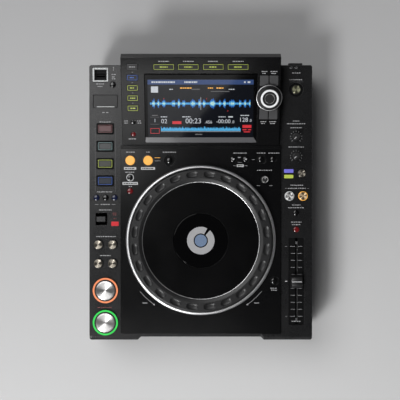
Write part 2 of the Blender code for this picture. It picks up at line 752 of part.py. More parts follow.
# Single keys in the columns: name, side, place, diameter, rise, steps, crown, finish
COLUMN_KEYS = (
    ("cue_button", LEFT, CUE_SHARES, CUE_DIAMETER, CUE_RISE, CUE_STEPS, RINGED_CROWN_SHARES, TURNED_METAL),
    ("play_button", LEFT, PLAY_SHARES, CUE_DIAMETER, CUE_RISE, CUE_STEPS, RINGED_CROWN_SHARES, TURNED_METAL),
    ("track_back_button", LEFT, TRACK_SHARES[0], SEARCH_DIAMETER, SEARCH_RISE, ROUND_STEPS,
     DISHED_CROWN_SHARES, TURNED_METAL),
    ("track_next_button", LEFT, TRACK_SHARES[1], SEARCH_DIAMETER, SEARCH_RISE, ROUND_STEPS,
     DISHED_CROWN_SHARES, TURNED_METAL),
    ("search_back_button", LEFT, SEARCH_SHARES[0], SEARCH_DIAMETER, SEARCH_RISE, ROUND_STEPS,
     DISHED_CROWN_SHARES, TURNED_METAL),
    ("search_forward_button", LEFT, SEARCH_SHARES[1], SEARCH_DIAMETER, SEARCH_RISE, ROUND_STEPS,
     DISHED_CROWN_SHARES, TURNED_METAL),
    ("usb_stop_button", LEFT, USB_STOP_SHARES, SMALL_DIAMETER, SMALL_RISE, SMALL_STEPS,
     PLAIN_CROWN_SHARES, KEY_BLACK),
    ("eject_button", RIGHT, EJECT_SHARES, EJECT_DIAMETER, EJECT_RISE, ROUND_STEPS,
     DISHED_CROWN_SHARES, KEY_BLACK),
    ("jog_mode_button", RIGHT, MODE_SHARES, MODE_DIAMETER, MODE_RISE, ROUND_STEPS,
     PLAIN_CROWN_SHARES, KEY_BLACK),
    ("beat_sync_button", RIGHT, SYNC_SHARES, SYNC_DIAMETER, SYNC_RISE, ROUND_STEPS,
     DISHED_CROWN_SHARES, TURNED_METAL),
    ("sync_master_button", RIGHT, MASTER_SHARES, SYNC_DIAMETER, SYNC_RISE, ROUND_STEPS,
     DISHED_CROWN_SHARES, TURNED_METAL),
)

# Single keys in the deck: name, place, diameter, rise, steps, crown, finish
DECK_KEYS = (
    ("loop_in_button", LOOP_IN_SHARES, LOOP_DIAMETER, LOOP_RISE, ROUND_STEPS, DISHED_CROWN_SHARES, KEY_AMBER),
    ("loop_out_button", LOOP_OUT_SHARES, LOOP_DIAMETER, LOOP_RISE, ROUND_STEPS, DISHED_CROWN_SHARES, KEY_AMBER),
    ("reloop_button", RELOOP_SHARES, SMALL_DIAMETER, SMALL_RISE, SMALL_STEPS, PLAIN_CROWN_SHARES, KEY_BLACK),
    ("tempo_reset_button", TEMPO_RESET_SHARES, SMALL_DIAMETER, SMALL_RISE, SMALL_STEPS,
     PLAIN_CROWN_SHARES, KEY_BLACK),
)


def row_of(places, cap_maker, *sizes):
    return [cap_maker(place, *sizes) for place in places]


# Rows of keys moulded in one piece: each is a list of caps
BANK_ROW = row_of([column_place(LEFT, shares) for shares in BANK_SHARES], round_cap,
                  SMALL_DIAMETER, SMALL_RISE, SMALL_STEPS)
TEMPO_ROW = row_of([column_place(RIGHT, shares) for shares in TEMPO_KEY_SHARES], round_cap,
                   SMALL_DIAMETER, SMALL_RISE, SMALL_STEPS)
BEAT_SLIP_ROW = row_of([deck_place(shares) for shares in BEAT_SLIP_SHARES], round_cap,
                       SMALL_DIAMETER, SMALL_RISE, SMALL_STEPS)
CALL_ROW = row_of([deck_place(shares) for shares in CALL_SHARES], round_cap,
                  SMALL_DIAMETER, SMALL_RISE, SMALL_STEPS)
SOURCE_ROW = row_of([hood_place(shares) for shares in SOURCE_SHARES], long_cap,
                    SOURCE_LENGTH, SOURCE_WIDTH, HOOD_KEY_RISE)
SOURCE_ROW += row_of([hood_place(shares) for shares in HOOD_ROUND_SHARES], round_cap,
                     TINY_DIAMETER, TINY_RISE, SMALL_STEPS)
BROWSE_ROW = row_of([hood_place(shares) for shares in BROWSE_SHARES], long_cap,
                    BROWSE_LENGTH, BROWSE_WIDTH, HOOD_KEY_RISE)
NAV_ROW = row_of([hood_place(shares) for shares in NAV_SHARES], long_cap, NAV_LENGTH, NAV_WIDTH, NAV_RISE)
PADS = row_of([column_place(LEFT, shares) for shares in PAD_SHARES], long_cap, PAD_LENGTH, PAD_WIDTH, PAD_RISE)


def cap_body(name, panel, cap, low, surface=None):
    """The cap of one key, from a height under its panel to its top."""
    top = panel.top + cap.rise
    place = (*cap.place, 0)
    if not cap.corner:
        radius = cap.length / 2
        profile = [(0, top), (radius - KEY_EDGE, top), (radius, top - KEY_EDGE), (radius, low), (0, low)]
        return turned(name, profile, surface, place, panel.parent, cap.steps)
    levels = [(low, 0), (top - KEY_EDGE, 0), (top, -KEY_EDGE)]
    return block(name, cap.length, cap.width, cap.corner, levels, surface, place, panel.parent)


def cap_hole(panel, cap):
    """The hole that a cap stands in, with its gap all round."""
    low = panel.under - OVERRUN
    high = panel.top + OVERRUN
    place = (*cap.place, 0)
    if not cap.corner:
        return cylinder("hole", cap.length / 2 + KEY_GAP, low, high, place, panel.parent, cap.steps)
    levels = [(low, KEY_GAP), (high, KEY_GAP)]
    return block("hole", cap.length, cap.width, cap.corner, levels, None, place, panel.parent)


def make_round_key(name, panel, place, diameter, rise, steps, crown, surface):
    """One turned key: its crown, its stem through the panel and the flange that keeps it in."""
    radius = diameter / 2
    flange_top = panel.under - KEY_GAP
    flange_low = flange_top - KEY_FLANGE_THICKNESS
    profile = [(across * radius, panel.top + up * rise) for across, up in crown]
    profile += [(radius, flange_top), (radius + KEY_FLANGE, flange_top)]
    profile += [(radius + KEY_FLANGE, flange_low), (0, flange_low)]
    return turned(name, profile, surface, (*place, 0), panel.parent, steps)


def make_pad(name, panel, cap, surface):
    """One long key with its flange."""
    flange_top = panel.under - KEY_GAP
    flange_low = flange_top - KEY_FLANGE_THICKNESS
    top = panel.top + cap.rise
    levels = [(flange_low, KEY_FLANGE), (flange_top, KEY_FLANGE), (flange_top, 0), (top - KEY_EDGE, 0)]
    levels.append((top, -KEY_EDGE))
    return block(name, cap.length, cap.width, cap.corner, levels, surface, (*cap.place, 0), panel.parent)


def make_row(name, panel, caps, surface, window=None):
    """Several caps on one web under their panel; a window, if any, leaves the web open at a place."""
    web_top = panel.under - KEY_GAP
    web_low = web_top - KEY_FLANGE_THICKNESS
    left = min(cap.place[0] - cap.length / 2 for cap in caps) - KEY_FLANGE
    right = max(cap.place[0] + cap.length / 2 for cap in caps) + KEY_FLANGE
    front = min(cap.place[1] - cap.width / 2 for cap in caps) - KEY_FLANGE
    rear = max(cap.place[1] + cap.width / 2 for cap in caps) + KEY_FLANGE
    middle = ((left + right) / 2, (front + rear) / 2, 0)
    levels = [(web_low, 0), (web_top, 0)]
    web = block(name, right - left, rear - front, KEY_CORNER, levels, surface, middle, panel.parent)
    if window:
        combine(web, [cylinder("window", window.length / 2, web_low - OVERRUN, web_top + OVERRUN,
                               (*window.place, 0), panel.parent)])
    low = (web_low + web_top) / 2
    combine(web, [cap_body("cap", panel, cap, low) for cap in caps], "UNION")
    return web


def case_outline(inward=0):
    """The case seen from above, anticlockwise from the front left, and the same drawn inwards."""
    side = CASE_WIDTH / 2
    recess = FRONT_RECESS_WIDTH / 2
    outline = [
        (-side, CASE_FRONT),
        (-recess - FRONT_SETBACK, CASE_FRONT),
        (-recess, MIDDLE_FRONT),
        (recess, MIDDLE_FRONT),
        (recess + FRONT_SETBACK, CASE_FRONT),
        (side, CASE_FRONT),
        (side, CASE_REAR),
        (-side, CASE_REAR),
    ]
    corner = max(CORNER_ROUND - inward, EDGE_ROUND)
    return filleted(inset(outline, inward), (corner, 0, 0, 0, 0, corner, corner, corner))


def front_chamfer(front, half_length):
    """The wedge that takes the top edge off a stretch of the front."""
    drop = OVERRUN * FRONT_CHAMFER_DROP / FRONT_CHAMFER_RUN
    outline = [
        (front - OVERRUN, CASE_TOP - FRONT_CHAMFER_DROP - drop),
        (front + FRONT_CHAMFER_RUN + OVERRUN, CASE_TOP + drop),
        (front - OVERRUN, CASE_TOP + drop),
    ]
    return side_plate("chamfer", outline, -half_length, half_length)


def top_opening(length, width, middle_y):
    levels = [(CASE_UNDER_TOP - OVERRUN, 0), (CASE_TOP + OVERRUN, 0)]
    return block("opening", length, width, CORNER_ROUND, levels, None, (0, middle_y, 0))


def case_openings():
    """The large openings: under the deck, under the hood, in the rear and for the disc slot."""
    deck_low = DECK_FRONT + DECK_LEDGE
    deck_high = DECK_REAR - DECK_RAMP_RUN - DECK_LEDGE
    hood_low = HOOD_FRONT + HOOD_WALL + HOOD_LEDGE
    hood_high = HOOD_FOOT_REAR - HOOD_WALL - HOOD_LEDGE
    rear_half = REAR_WINDOW_LENGTH / 2
    through = [(-WALL - OVERRUN, CLEARANCE), (OVERRUN, CLEARANCE)]
    bezel = block("bezel_hole", BEZEL_LENGTH, BEZEL_WIDTH, BEZEL_CORNER, through)
    power = block("power_hole", POWER_LENGTH, POWER_HEIGHT, KEY_CORNER, through)
    return [
        top_opening(DECK_WIDTH - 2 * DECK_LEDGE, deck_high - deck_low, (deck_low + deck_high) / 2),
        top_opening(HOOD_WIDTH - 2 * (HOOD_WALL + HOOD_LEDGE), hood_high - hood_low, (hood_low + hood_high) / 2),
        box("rear_window", (-rear_half, REAR_INNER - OVERRUN, REAR_WINDOW_BOTTOM),
            (rear_half, CASE_REAR + OVERRUN, REAR_WINDOW_TOP)),
        facing_front(bezel, (0, MIDDLE_FRONT, SLOT_HEIGHT)),
        facing_rear(power, (power_x(), CASE_REAR, power_z())),
    ]


def power_x():
    return CASE_WIDTH / 2 - POWER_SHARE * COLUMN_WIDTH


def power_z():
    return CASE_UNDER_TOP - POWER_DROP - POWER_HEIGHT / 2


def column_hole(place, length, width, gap, low=CASE_UNDER_TOP - OVERRUN):
    levels = [(low, gap), (CASE_TOP + OVERRUN, gap)]
    return block("hole", length, width, EDGE_ROUND, levels, None, (*place, 0))


def column_holes():
    """Every through hole in the two control columns."""
    holes = []
    for _, side, shares, diameter, rise, steps, _, _ in COLUMN_KEYS:
        holes.append(cap_hole(COLUMN_PANEL, round_cap(column_place(side, shares), diameter, rise, steps)))
    for cap in BANK_ROW + TEMPO_ROW + PADS:
        holes.append(cap_hole(COLUMN_PANEL, cap))
    for shares in (TOUCH_SHARES, RELEASE_SHARES):
        shaft = round_cap(column_place(RIGHT, shares), KNOB_SHAFT_DIAMETER, KNOB_HEIGHT, TINY_STEPS)
        holes.append(cap_hole(COLUMN_PANEL, shaft))
    holes.append(column_hole(column_place(LEFT, LEVER_SHARES), LEVER_SLOT_LENGTH, LEVER_SLOT_WIDTH, 0))
    holes.append(column_hole(column_place(LEFT, USB_SHARES), USB_FRAME_LENGTH, USB_FRAME_WIDTH, CLEARANCE))
    half_x = DOOR_LENGTH / 2 + DOOR_GAP
    half_y = DOOR_WIDTH / 2 + DOOR_GAP
    door = box("hole", (-half_x, -half_y, CASE_UNDER_TOP - OVERRUN), (half_x, half_y, CASE_TOP + OVERRUN))
    door.location = (*column_place(LEFT, DOOR_SHARES), 0)
    holes.append(door)
    return holes


def fader_slot_length():
    return FADER_TRAVEL + FADER_BLADE_LENGTH + 2 * FADER_SLOT_GAP


def fader_recess_length():
    return FADER_TRAVEL + FADER_KNOB_LENGTH + 2 * FADER_RECESS_MARGIN


def column_sinks():
    """The shallow recesses along the fader and round the eject button."""
    fader = column_place(RIGHT, FADER_SHARES)
    eject = (*column_place(RIGHT, EJECT_SHARES), 0)
    floor = CASE_TOP - EJECT_RING_DEPTH
    ring = EJECT_DIAMETER / 2 + EJECT_RING_WIDTH
    return [
        column_hole(fader, FADER_RECESS_WIDTH, fader_recess_length(), 0, CASE_TOP - FADER_RECESS_DEPTH),
        cylinder("sink", ring, floor, CASE_TOP + OVERRUN, eject, None, ROUND_STEPS),
    ]


def lever_place():
    x, y = column_place(LEFT, LEVER_SHARES)
    return x, y, CASE_UNDER_TOP - LEVER_PIVOT_DROP


def lever_ears():
    """The two lugs under the top that carry the lever's pin."""
    x, y, z = lever_place()
    ears = []
    for side in (LEFT, RIGHT):
        inner = x + side * LEVER_SLOT_LENGTH / 2
        outer = inner + side * LEVER_EAR_WALL
        low = (min(inner, outer), y - LEVER_EAR_WIDTH / 2, z - LEVER_PIN_DIAMETER)
        high = (max(inner, outer), y + LEVER_EAR_WIDTH / 2, CASE_UNDER_TOP + TOP_WALL / 2)
        ears.append(box("ear", low, high))
    return ears


def pin_reach():
    return LEVER_SLOT_LENGTH / 2 + LEVER_EAR_WALL


def door_place():
    """The card door's axis: its middle."""
    x, y = column_place(LEFT, DOOR_SHARES)
    radius = DOOR_BARREL_DIAMETER / 2
    return x, y + DOOR_WIDTH / 2 - radius, CASE_TOP - radius


def make_upper_case():
    """The moulded housing: outer form, sloped front edge, hollow, openings, ledges and lugs."""
    case = soften(plate("upper_case", case_outline(), CASE_BOTTOM, CASE_TOP, CASE_PLASTIC), EDGE_ROUND, 1)
    recess = FRONT_RECESS_WIDTH / 2 + FRONT_SETBACK / 2
    combine(case, [front_chamfer(CASE_FRONT, CASE_WIDTH / 2 + OVERRUN), front_chamfer(MIDDLE_FRONT, recess)])
    combine(case, [plate("hollow", case_outline(WALL), CASE_BOTTOM - OVERRUN, CASE_UNDER_TOP)])
    combine(case, lever_ears(), "UNION")
    combine(case, case_openings() + column_sinks())
    reach = DOOR_LENGTH / 2 + DOOR_PIN_LENGTH + CLEARANCE
    door_bore = cylinder("bore", DOOR_PIN_DIAMETER / 2 + CLEARANCE, -reach, reach, door_place(), None, TINY_STEPS)
    lever_bore = cylinder("bore", LEVER_PIN_DIAMETER / 2 + CLEARANCE, -pin_reach() - CLEARANCE,
                          pin_reach() + CLEARANCE, lever_place(), None, TINY_STEPS)
    combine(case, column_holes() + [fader_slot(), along_x(door_bore), along_x(lever_bore)])
    return case


def fader_slot():
    place = (*column_place(RIGHT, FADER_SHARES), 0)
    levels = [(CASE_UNDER_TOP - OVERRUN, 0), (CASE_TOP, 0)]
    width = FADER_BLADE_WIDTH + 2 * FADER_SLOT_GAP
    return block("slot", width, fader_slot_length(), EDGE_ROUND, levels, None, place)


def make_deck():
    """The gloss plate round the jog wheel, with its rear ramp, collars, shallow rings and holes."""
    rear = DECK_REAR
    ramp = rear - DECK_RAMP_RUN
    outline = [(DECK_FRONT, DECK_UNDER), (rear, DECK_UNDER), (rear, DECK_TOP + DECK_RAMP_RISE), (ramp, DECK_TOP)]
    outline.append((DECK_FRONT, DECK_TOP))
    deck = side_plate("deck_panel", outline, -DECK_WIDTH / 2, DECK_WIDTH / 2, DECK_GLOSS)
    soften(deck, EDGE_ROUND, 1)
    collar = LOOP_DIAMETER / 2 + KEY_GAP + COLLAR_WIDTH
    collars = []
    for shares in (LOOP_IN_SHARES, LOOP_OUT_SHARES):
        place = (*deck_place(shares), 0)
        low = (DECK_UNDER + DECK_TOP) / 2
        collars.append(cylinder("collar", collar, low, DECK_TOP + COLLAR_RISE, place))
    combine(deck, collars, "UNION")
    sinks = []
    for shares, width in ((RELOOP_SHARES, RELOOP_SINK_WIDTH), (CALL_SHARES[2], DELETE_SINK_WIDTH),
                          (TEMPO_RESET_SHARES, RESET_SINK_WIDTH)):
        place = (*deck_place(shares), 0)
        sinks.append(cylinder("sink", SMALL_DIAMETER / 2 + width, DECK_TOP - SINK_DEPTH, DECK_TOP + OVERRUN, place))
    combine(deck, sinks)
    holes = [cylinder("jog_hole", DECK_HOLE_RADIUS, DECK_UNDER - OVERRUN, DECK_TOP + OVERRUN, (*JOG_PLACE, 0),
                      None, JOG_STEPS)]
    for _, shares, diameter, rise, steps, _, _ in DECK_KEYS:
        holes.append(cap_hole(DECK_PANEL, round_cap(deck_place(shares), diameter, rise, steps)))
    for cap in BEAT_SLIP_ROW + CALL_ROW:
        holes.append(cap_hole(DECK_PANEL, cap))
    shaft = round_cap(deck_place(JOG_ADJUST_SHARES), KNOB_SHAFT_DIAMETER, KNOB_HEIGHT, TINY_STEPS)
    holes.append(cap_hole(DECK_PANEL, shaft))
    combine(deck, holes)
    return deck


def hood_outline():
    tip_height = HOOD_TOP_HEIGHT - HOOD_PROW_DROP
    return [
        (HOOD_FRONT, HOOD_UNDER),
        (HOOD_FOOT_REAR, HOOD_UNDER),
        (HOOD_TIP, tip_height),
        (HOOD_TOP_REAR, HOOD_TOP_HEIGHT),
        (HOOD_FRONT, HOOD_FRONT_TOP),
    ]


def make_hood():
    """The hood's shell: a wedge with a prow, open underneath, with its window, seat and key holes."""
    half = HOOD_WIDTH / 2
    hood = soften(side_plate("display_hood", hood_outline(), -half, half, HOOD_GLOSS), EDGE_ROUND, 1)
    inner = inset(hood_outline(), HOOD_WALL)
    low = HOOD_UNDER - OVERRUN
    hollow = [(inner[0][0], low), (inner[1][0], low)] + inner[1:]
    combine(hood, [side_plate("hollow", hollow, HOOD_WALL - half, half - HOOD_WALL)])
    guide = SELECTOR_SHAFT_DIAMETER / 2 + CLEARANCE
    selector = (*hood_place(SELECTOR_SHARES), 0)
    guide_low = -HOOD_WALL - SELECTOR_GUIDE_DEPTH
    tube = cylinder("guide", guide + SELECTOR_GUIDE_WALL, guide_low, -HOOD_WALL / 2, selector, HOOD_FRAME,
                    SMALL_STEPS)
    combine(hood, [tube], "UNION")
    seat = block("seat", GLASS_WIDTH, GLASS_HEIGHT, GLASS_CORNER, [(-GLASS_SEAT_DEPTH, CLEARANCE),
                 (OVERRUN, CLEARANCE)], None, (*hood_place(GLASS_SHARES), 0), HOOD_FRAME)
    window = block("window", GLASS_WIDTH, GLASS_HEIGHT, GLASS_CORNER + WINDOW_MARGIN,
                   [(-HOOD_WALL - OVERRUN, -WINDOW_MARGIN), (OVERRUN, -WINDOW_MARGIN)], None,
                   (*hood_place(GLASS_SHARES), 0), HOOD_FRAME)
    bore = cylinder("bore", guide, guide_low - OVERRUN, OVERRUN, selector, HOOD_FRAME, SMALL_STEPS)
    combine(hood, [seat])
    holes = [cap_hole(HOOD_PANEL, cap) for cap in SOURCE_ROW + BROWSE_ROW + NAV_ROW]
    combine(hood, [window, bore] + holes)
    return hood


def make_screen():
    """The glass: a raised block seated in the hood, with its front lip and right side sloped."""
    place = (*hood_place(GLASS_SHARES), 0)
    levels = [(CLEARANCE - GLASS_SEAT_DEPTH, 0), (GLASS_RISE - GLASS_EDGE, 0), (GLASS_RISE, -GLASS_EDGE)]
    glass = block("screen_glass", GLASS_WIDTH, GLASS_HEIGHT, GLASS_CORNER, levels, SCREEN_GLASS, place, HOOD_FRAME)
    drop = GLASS_RISE - GLASS_TOE
    front = -GLASS_HEIGHT / 2
    side = GLASS_WIDTH / 2
    lip = [
        (front - OVERRUN, GLASS_TOE - OVERRUN * drop / GLASS_LIP_RUN),
        (front + GLASS_LIP_RUN + OVERRUN, GLASS_RISE + OVERRUN * drop / GLASS_LIP_RUN),
        (front - OVERRUN, GLASS_RISE + OVERRUN),
    ]
    slope = [
        (side + OVERRUN, GLASS_TOE - OVERRUN * drop / GLASS_SIDE_RUN),
        (side + OVERRUN, GLASS_RISE + OVERRUN),
        (side - GLASS_SIDE_RUN - OVERRUN, GLASS_RISE + OVERRUN * drop / GLASS_SIDE_RUN),
    ]
    lip_cutter = side_plate("lip", lip, -side - OVERRUN, side + OVERRUN)
    slope_cutter = plate("slope", slope, -GLASS_HEIGHT, GLASS_HEIGHT)
    slope_cutter.rotation_euler = (math.pi / 2, 0, 0)
    for cutter in (lip_cutter, slope_cutter):
        cutter.parent = HOOD_FRAME
        cutter.location = place
    combine(glass, [lip_cutter, slope_cutter])
    return glass


def make_lcd():
    """The display module that hangs in the hood's window, under the glass."""
    levels = [(-LCD_THICKNESS - GLASS_SEAT_DEPTH, -WINDOW_MARGIN - CLEARANCE),
              (-GLASS_SEAT_DEPTH, -WINDOW_MARGIN - CLEARANCE)]
    place = (*hood_place(GLASS_SHARES), 0)
    return block("lcd_module", GLASS_WIDTH, GLASS_HEIGHT, GLASS_CORNER + WINDOW_MARGIN + CLEARANCE, levels,
                 SHEET_STEEL, place, HOOD_FRAME)


def make_trim_ring():
    """The polished ring round the wheel, with its skirt down into the deck."""
    top = TRIM_BASE + TRIM_HEIGHT
    skirt = TRIM_INNER + TRIM_SKIRT
    low = TRIM_BASE - TRIM_SKIRT_DEPTH
    profile = [(TRIM_OUTER - TRIM_SLOPE_RUN, top), (TRIM_OUTER, TRIM_BASE), (skirt, TRIM_BASE), (skirt, low)]
    profile += [(TRIM_INNER, low), (TRIM_INNER, top - TRIM_EDGE)]
    return turned("jog_trim_ring", profile, POLISHED_METAL, (*JOG_PLACE, 0), None, JOG_STEPS, True)


def make_pillar():
    """The fixed dish under the wheel, with the hollow post that the wheel turns on."""
    floor = PILLAR_FLOOR_TOP
    rim_inner = JOG_RADIUS + PILLAR_RIM_GAP
    rim = rim_inner + PILLAR_FLOOR
    rim_top = DECK_UNDER - CLEARANCE
    shoulder_top = PLATE_SEAT - JOG_HUB_LENGTH - CLEARANCE
    shoulder = PILLAR_RADIUS + PILLAR_SHOULDER
    bore = PILLAR_RADIUS - PILLAR_WALL
    profile = [(rim, rim_top), (rim, floor - PILLAR_FLOOR), (bore, floor - PILLAR_FLOOR), (bore, PILLAR_TOP)]
    profile += [(PILLAR_RADIUS, PILLAR_TOP), (PILLAR_RADIUS, shoulder_top), (shoulder, shoulder_top)]
    profile += [(shoulder, floor), (rim_inner, floor), (rim_inner, rim_top)]
    return turned("jog_pillar", profile, SOCKET_BLACK, (*JOG_PLACE, 0), None, HUB_STEPS, True)


def make_lens():
    """The round window on the post."""
    spigot = PILLAR_RADIUS - PILLAR_WALL - CLEARANCE
    under = PLATE_TOP - LENS_THICKNESS
    low = under - LENS_SPIGOT_DEPTH
    profile = [(0, PLATE_TOP), (LENS_RADIUS, PLATE_TOP), (LENS_RADIUS, under), (spigot, under), (spigot, low)]
    profile.append((0, low))
    return turned("jog_lens", profile, SCREEN_GLASS, (*JOG_PLACE, 0), None, HUB_STEPS)


def dimple_cutters():
    """The finger dimples: a tilted, stretched ball for each, steep towards the middle of the wheel."""
    ring = JOG_RIM_INNER + JOG_RIM_WIDTH / 2
    tools = []
    for index in range(DIMPLE_COUNT):
        work = bmesh.new()
        bmesh.ops.create_uvsphere(work, u_segments=DIMPLE_STEPS, v_segments=DIMPLE_STEPS // 2, radius=1)
        bmesh.ops.scale(work, vec=(DIMPLE_WIDTH / 2, DIMPLE_LENGTH / 2, DIMPLE_DEPTH), verts=work.verts)
        mesh = bpy.data.meshes.new("dimple")
        work.to_mesh(mesh)
        work.free()
        angle = 2 * math.pi * (index + 0.5) / DIMPLE_COUNT
        place = (JOG_PLACE[0] + ring * math.cos(angle), JOG_PLACE[1] + ring * math.sin(angle), JOG_TOP)
        tool = place_object(bpy.data.objects.new("dimple", mesh), None, place, None)
        tool.rotation_euler = (0, -math.radians(DIMPLE_TILT_DEG), angle)
        tools.append(tool)
    return tools


def make_jog_wheel():
    """The wheel: finger ring with its dimples, skirt, ledge for the top plate, floor and hub."""
    seat = JOG_PLATE_RADIUS + CLEARANCE
    floor = PLATE_SEAT - JOG_FLOOR_DROP
    floor_under = floor - JOG_FLOOR_THICKNESS
    bore = PILLAR_RADIUS + CLEARANCE
    hub = bore + JOG_HUB_WALL
    profile = [
        (JOG_RIM_INNER, JOG_TOP),
        (JOG_RADIUS - JOG_EDGE_RUN, JOG_TOP),
        (JOG_RADIUS, JOG_TOP - JOG_EDGE_DROP),
        (JOG_RADIUS, JOG_BOTTOM),
        (JOG_RADIUS - JOG_SKIRT_WALL, JOG_BOTTOM),
        (JOG_RADIUS - JOG_SKIRT_WALL, floor_under),
        (hub, floor_under),
        (hub, PLATE_SEAT - JOG_HUB_LENGTH),
        (bore, PLATE_SEAT - JOG_HUB_LENGTH),
        (bore, PLATE_SEAT),
        (hub, PLATE_SEAT),
        (hub, floor),
        (seat - JOG_LEDGE_WIDTH, floor),
        (seat - JOG_LEDGE_WIDTH, PLATE_SEAT),
        (seat, PLATE_SEAT),
        (seat, PLATE_TOP),
    ]
    wheel = turned("jog_wheel", profile, JOG_PLASTIC, (*JOG_PLACE, 0), None, JOG_STEPS, True)
    combine(wheel, dimple_cutters())
    return wheel


def make_jog_plate():
    """The touch plate on top of the wheel."""
    bore = LENS_RADIUS + LENS_GAP
    edge = JOG_PLATE_EDGE
    profile = [(JOG_PLATE_RADIUS - edge, PLATE_TOP), (JOG_PLATE_RADIUS, PLATE_TOP - edge)]
    profile += [(JOG_PLATE_RADIUS, PLATE_UNDER), (bore, PLATE_UNDER), (bore, PLATE_TOP)]
    return turned("jog_plate", profile, PLATE_BLACK, (*JOG_PLACE, 0), None, JOG_STEPS, True)


def make_knob(name, panel, place, turn_deg):
    """A small knob with its shaft through the panel and a pointer groove, turned from straight back."""
    radius = KNOB_DIAMETER / 2
    shaft = KNOB_SHAFT_DIAMETER / 2
    low = panel.top + KNOB_LIFT
    top = low + KNOB_HEIGHT
    upper = radius - KNOB_TAPER
    profile = [(0, top), (upper - KNOB_EDGE, top), (upper, top - KNOB_EDGE), (radius, low), (shaft, low)]
    profile += [(shaft, panel.under - KNOB_SHAFT_DEPTH), (0, panel.under - KNOB_SHAFT_DEPTH)]
    knob = turned(name, profile, JOG_PLASTIC, (*place, 0), None, SMALL_STEPS)
    half = KNOB_MARK_WIDTH / 2
    groove = box("mark", (-half, 0, top - KNOB_MARK_DEPTH), (half, radius + OVERRUN, top + OVERRUN))
    groove.location = (*place, 0)
    groove.rotation_euler = (0, 0, math.radians(turn_deg))
    return combine(knob, [groove])


def make_selector():
    """The push and turn selector: a shaft in the hood's guide, and the knob on it."""
    place = (*hood_place(SELECTOR_SHARES), 0)
    shaft = SELECTOR_SHAFT_DIAMETER / 2
    guide_low = -HOOD_WALL - SELECTOR_GUIDE_DEPTH
    stop_top = guide_low - CLEARANCE
    stop_low = stop_top - SELECTOR_STOP_THICKNESS
    shaft_top = SELECTOR_LIFT + SELECTOR_SOCKET_DEPTH - CLEARANCE
    stop = shaft + SELECTOR_STOP_WIDTH
    profile = [(0, shaft_top), (shaft, shaft_top), (shaft, stop_top), (stop, stop_top), (stop, stop_low)]
    profile.append((0, stop_low))
    turned("selector_shaft", profile, BARE_STEEL, place, HOOD_FRAME, SMALL_STEPS)
    skirt = SELECTOR_DIAMETER / 2
    cap = SELECTOR_CAP_DIAMETER / 2
    socket = shaft + CLEARANCE
    low = SELECTOR_LIFT
    top = low + SELECTOR_HEIGHT
    step = low + SELECTOR_SKIRT_RISE
    profile = [(0, top - SELECTOR_DISH), (cap - SELECTOR_RING_WIDTH, top - SELECTOR_DISH / 2)]
    profile += [(cap - SELECTOR_RING_WIDTH, top), (cap, top - SELECTOR_DISH / 2), (cap, step)]
    profile += [(skirt - SELECTOR_SKIRT_EDGE, low + SELECTOR_SKIRT_EDGE), (skirt, low), (socket, low)]
    profile += [(socket, low + SELECTOR_SOCKET_DEPTH), (0, low + SELECTOR_SOCKET_DEPTH)]
    turned("selector_knob", profile, TURNED_METAL, place, HOOD_FRAME, CUE_STEPS)


def make_lever():
    """The direction lever: a rocking cap on a pin between the lugs."""
    place = lever_place()
    half_length = LEVER_LENGTH / 2
    half_width = LEVER_WIDTH / 2
    top = CASE_TOP + LEVER_RISE - place[2]
    radius = LEVER_PIN_DIAMETER
    outline = [(-half_width / 2, top), (-half_width, -radius / 2), (-half_width / 2, -radius)]
    outline += [(half_width / 2, -radius), (half_width, -radius / 2), (half_width / 2, top)]
    lever = side_plate("direction_lever", outline, -half_length, half_length, KEY_BLACK)
    lever.location = place
    soften(lever, EDGE_ROUND / 2, 1)
    pin = cylinder("pin", LEVER_PIN_DIAMETER / 2, -pin_reach(), pin_reach(), place, None, TINY_STEPS)
    return combine(lever, [along_x(pin)], "UNION")


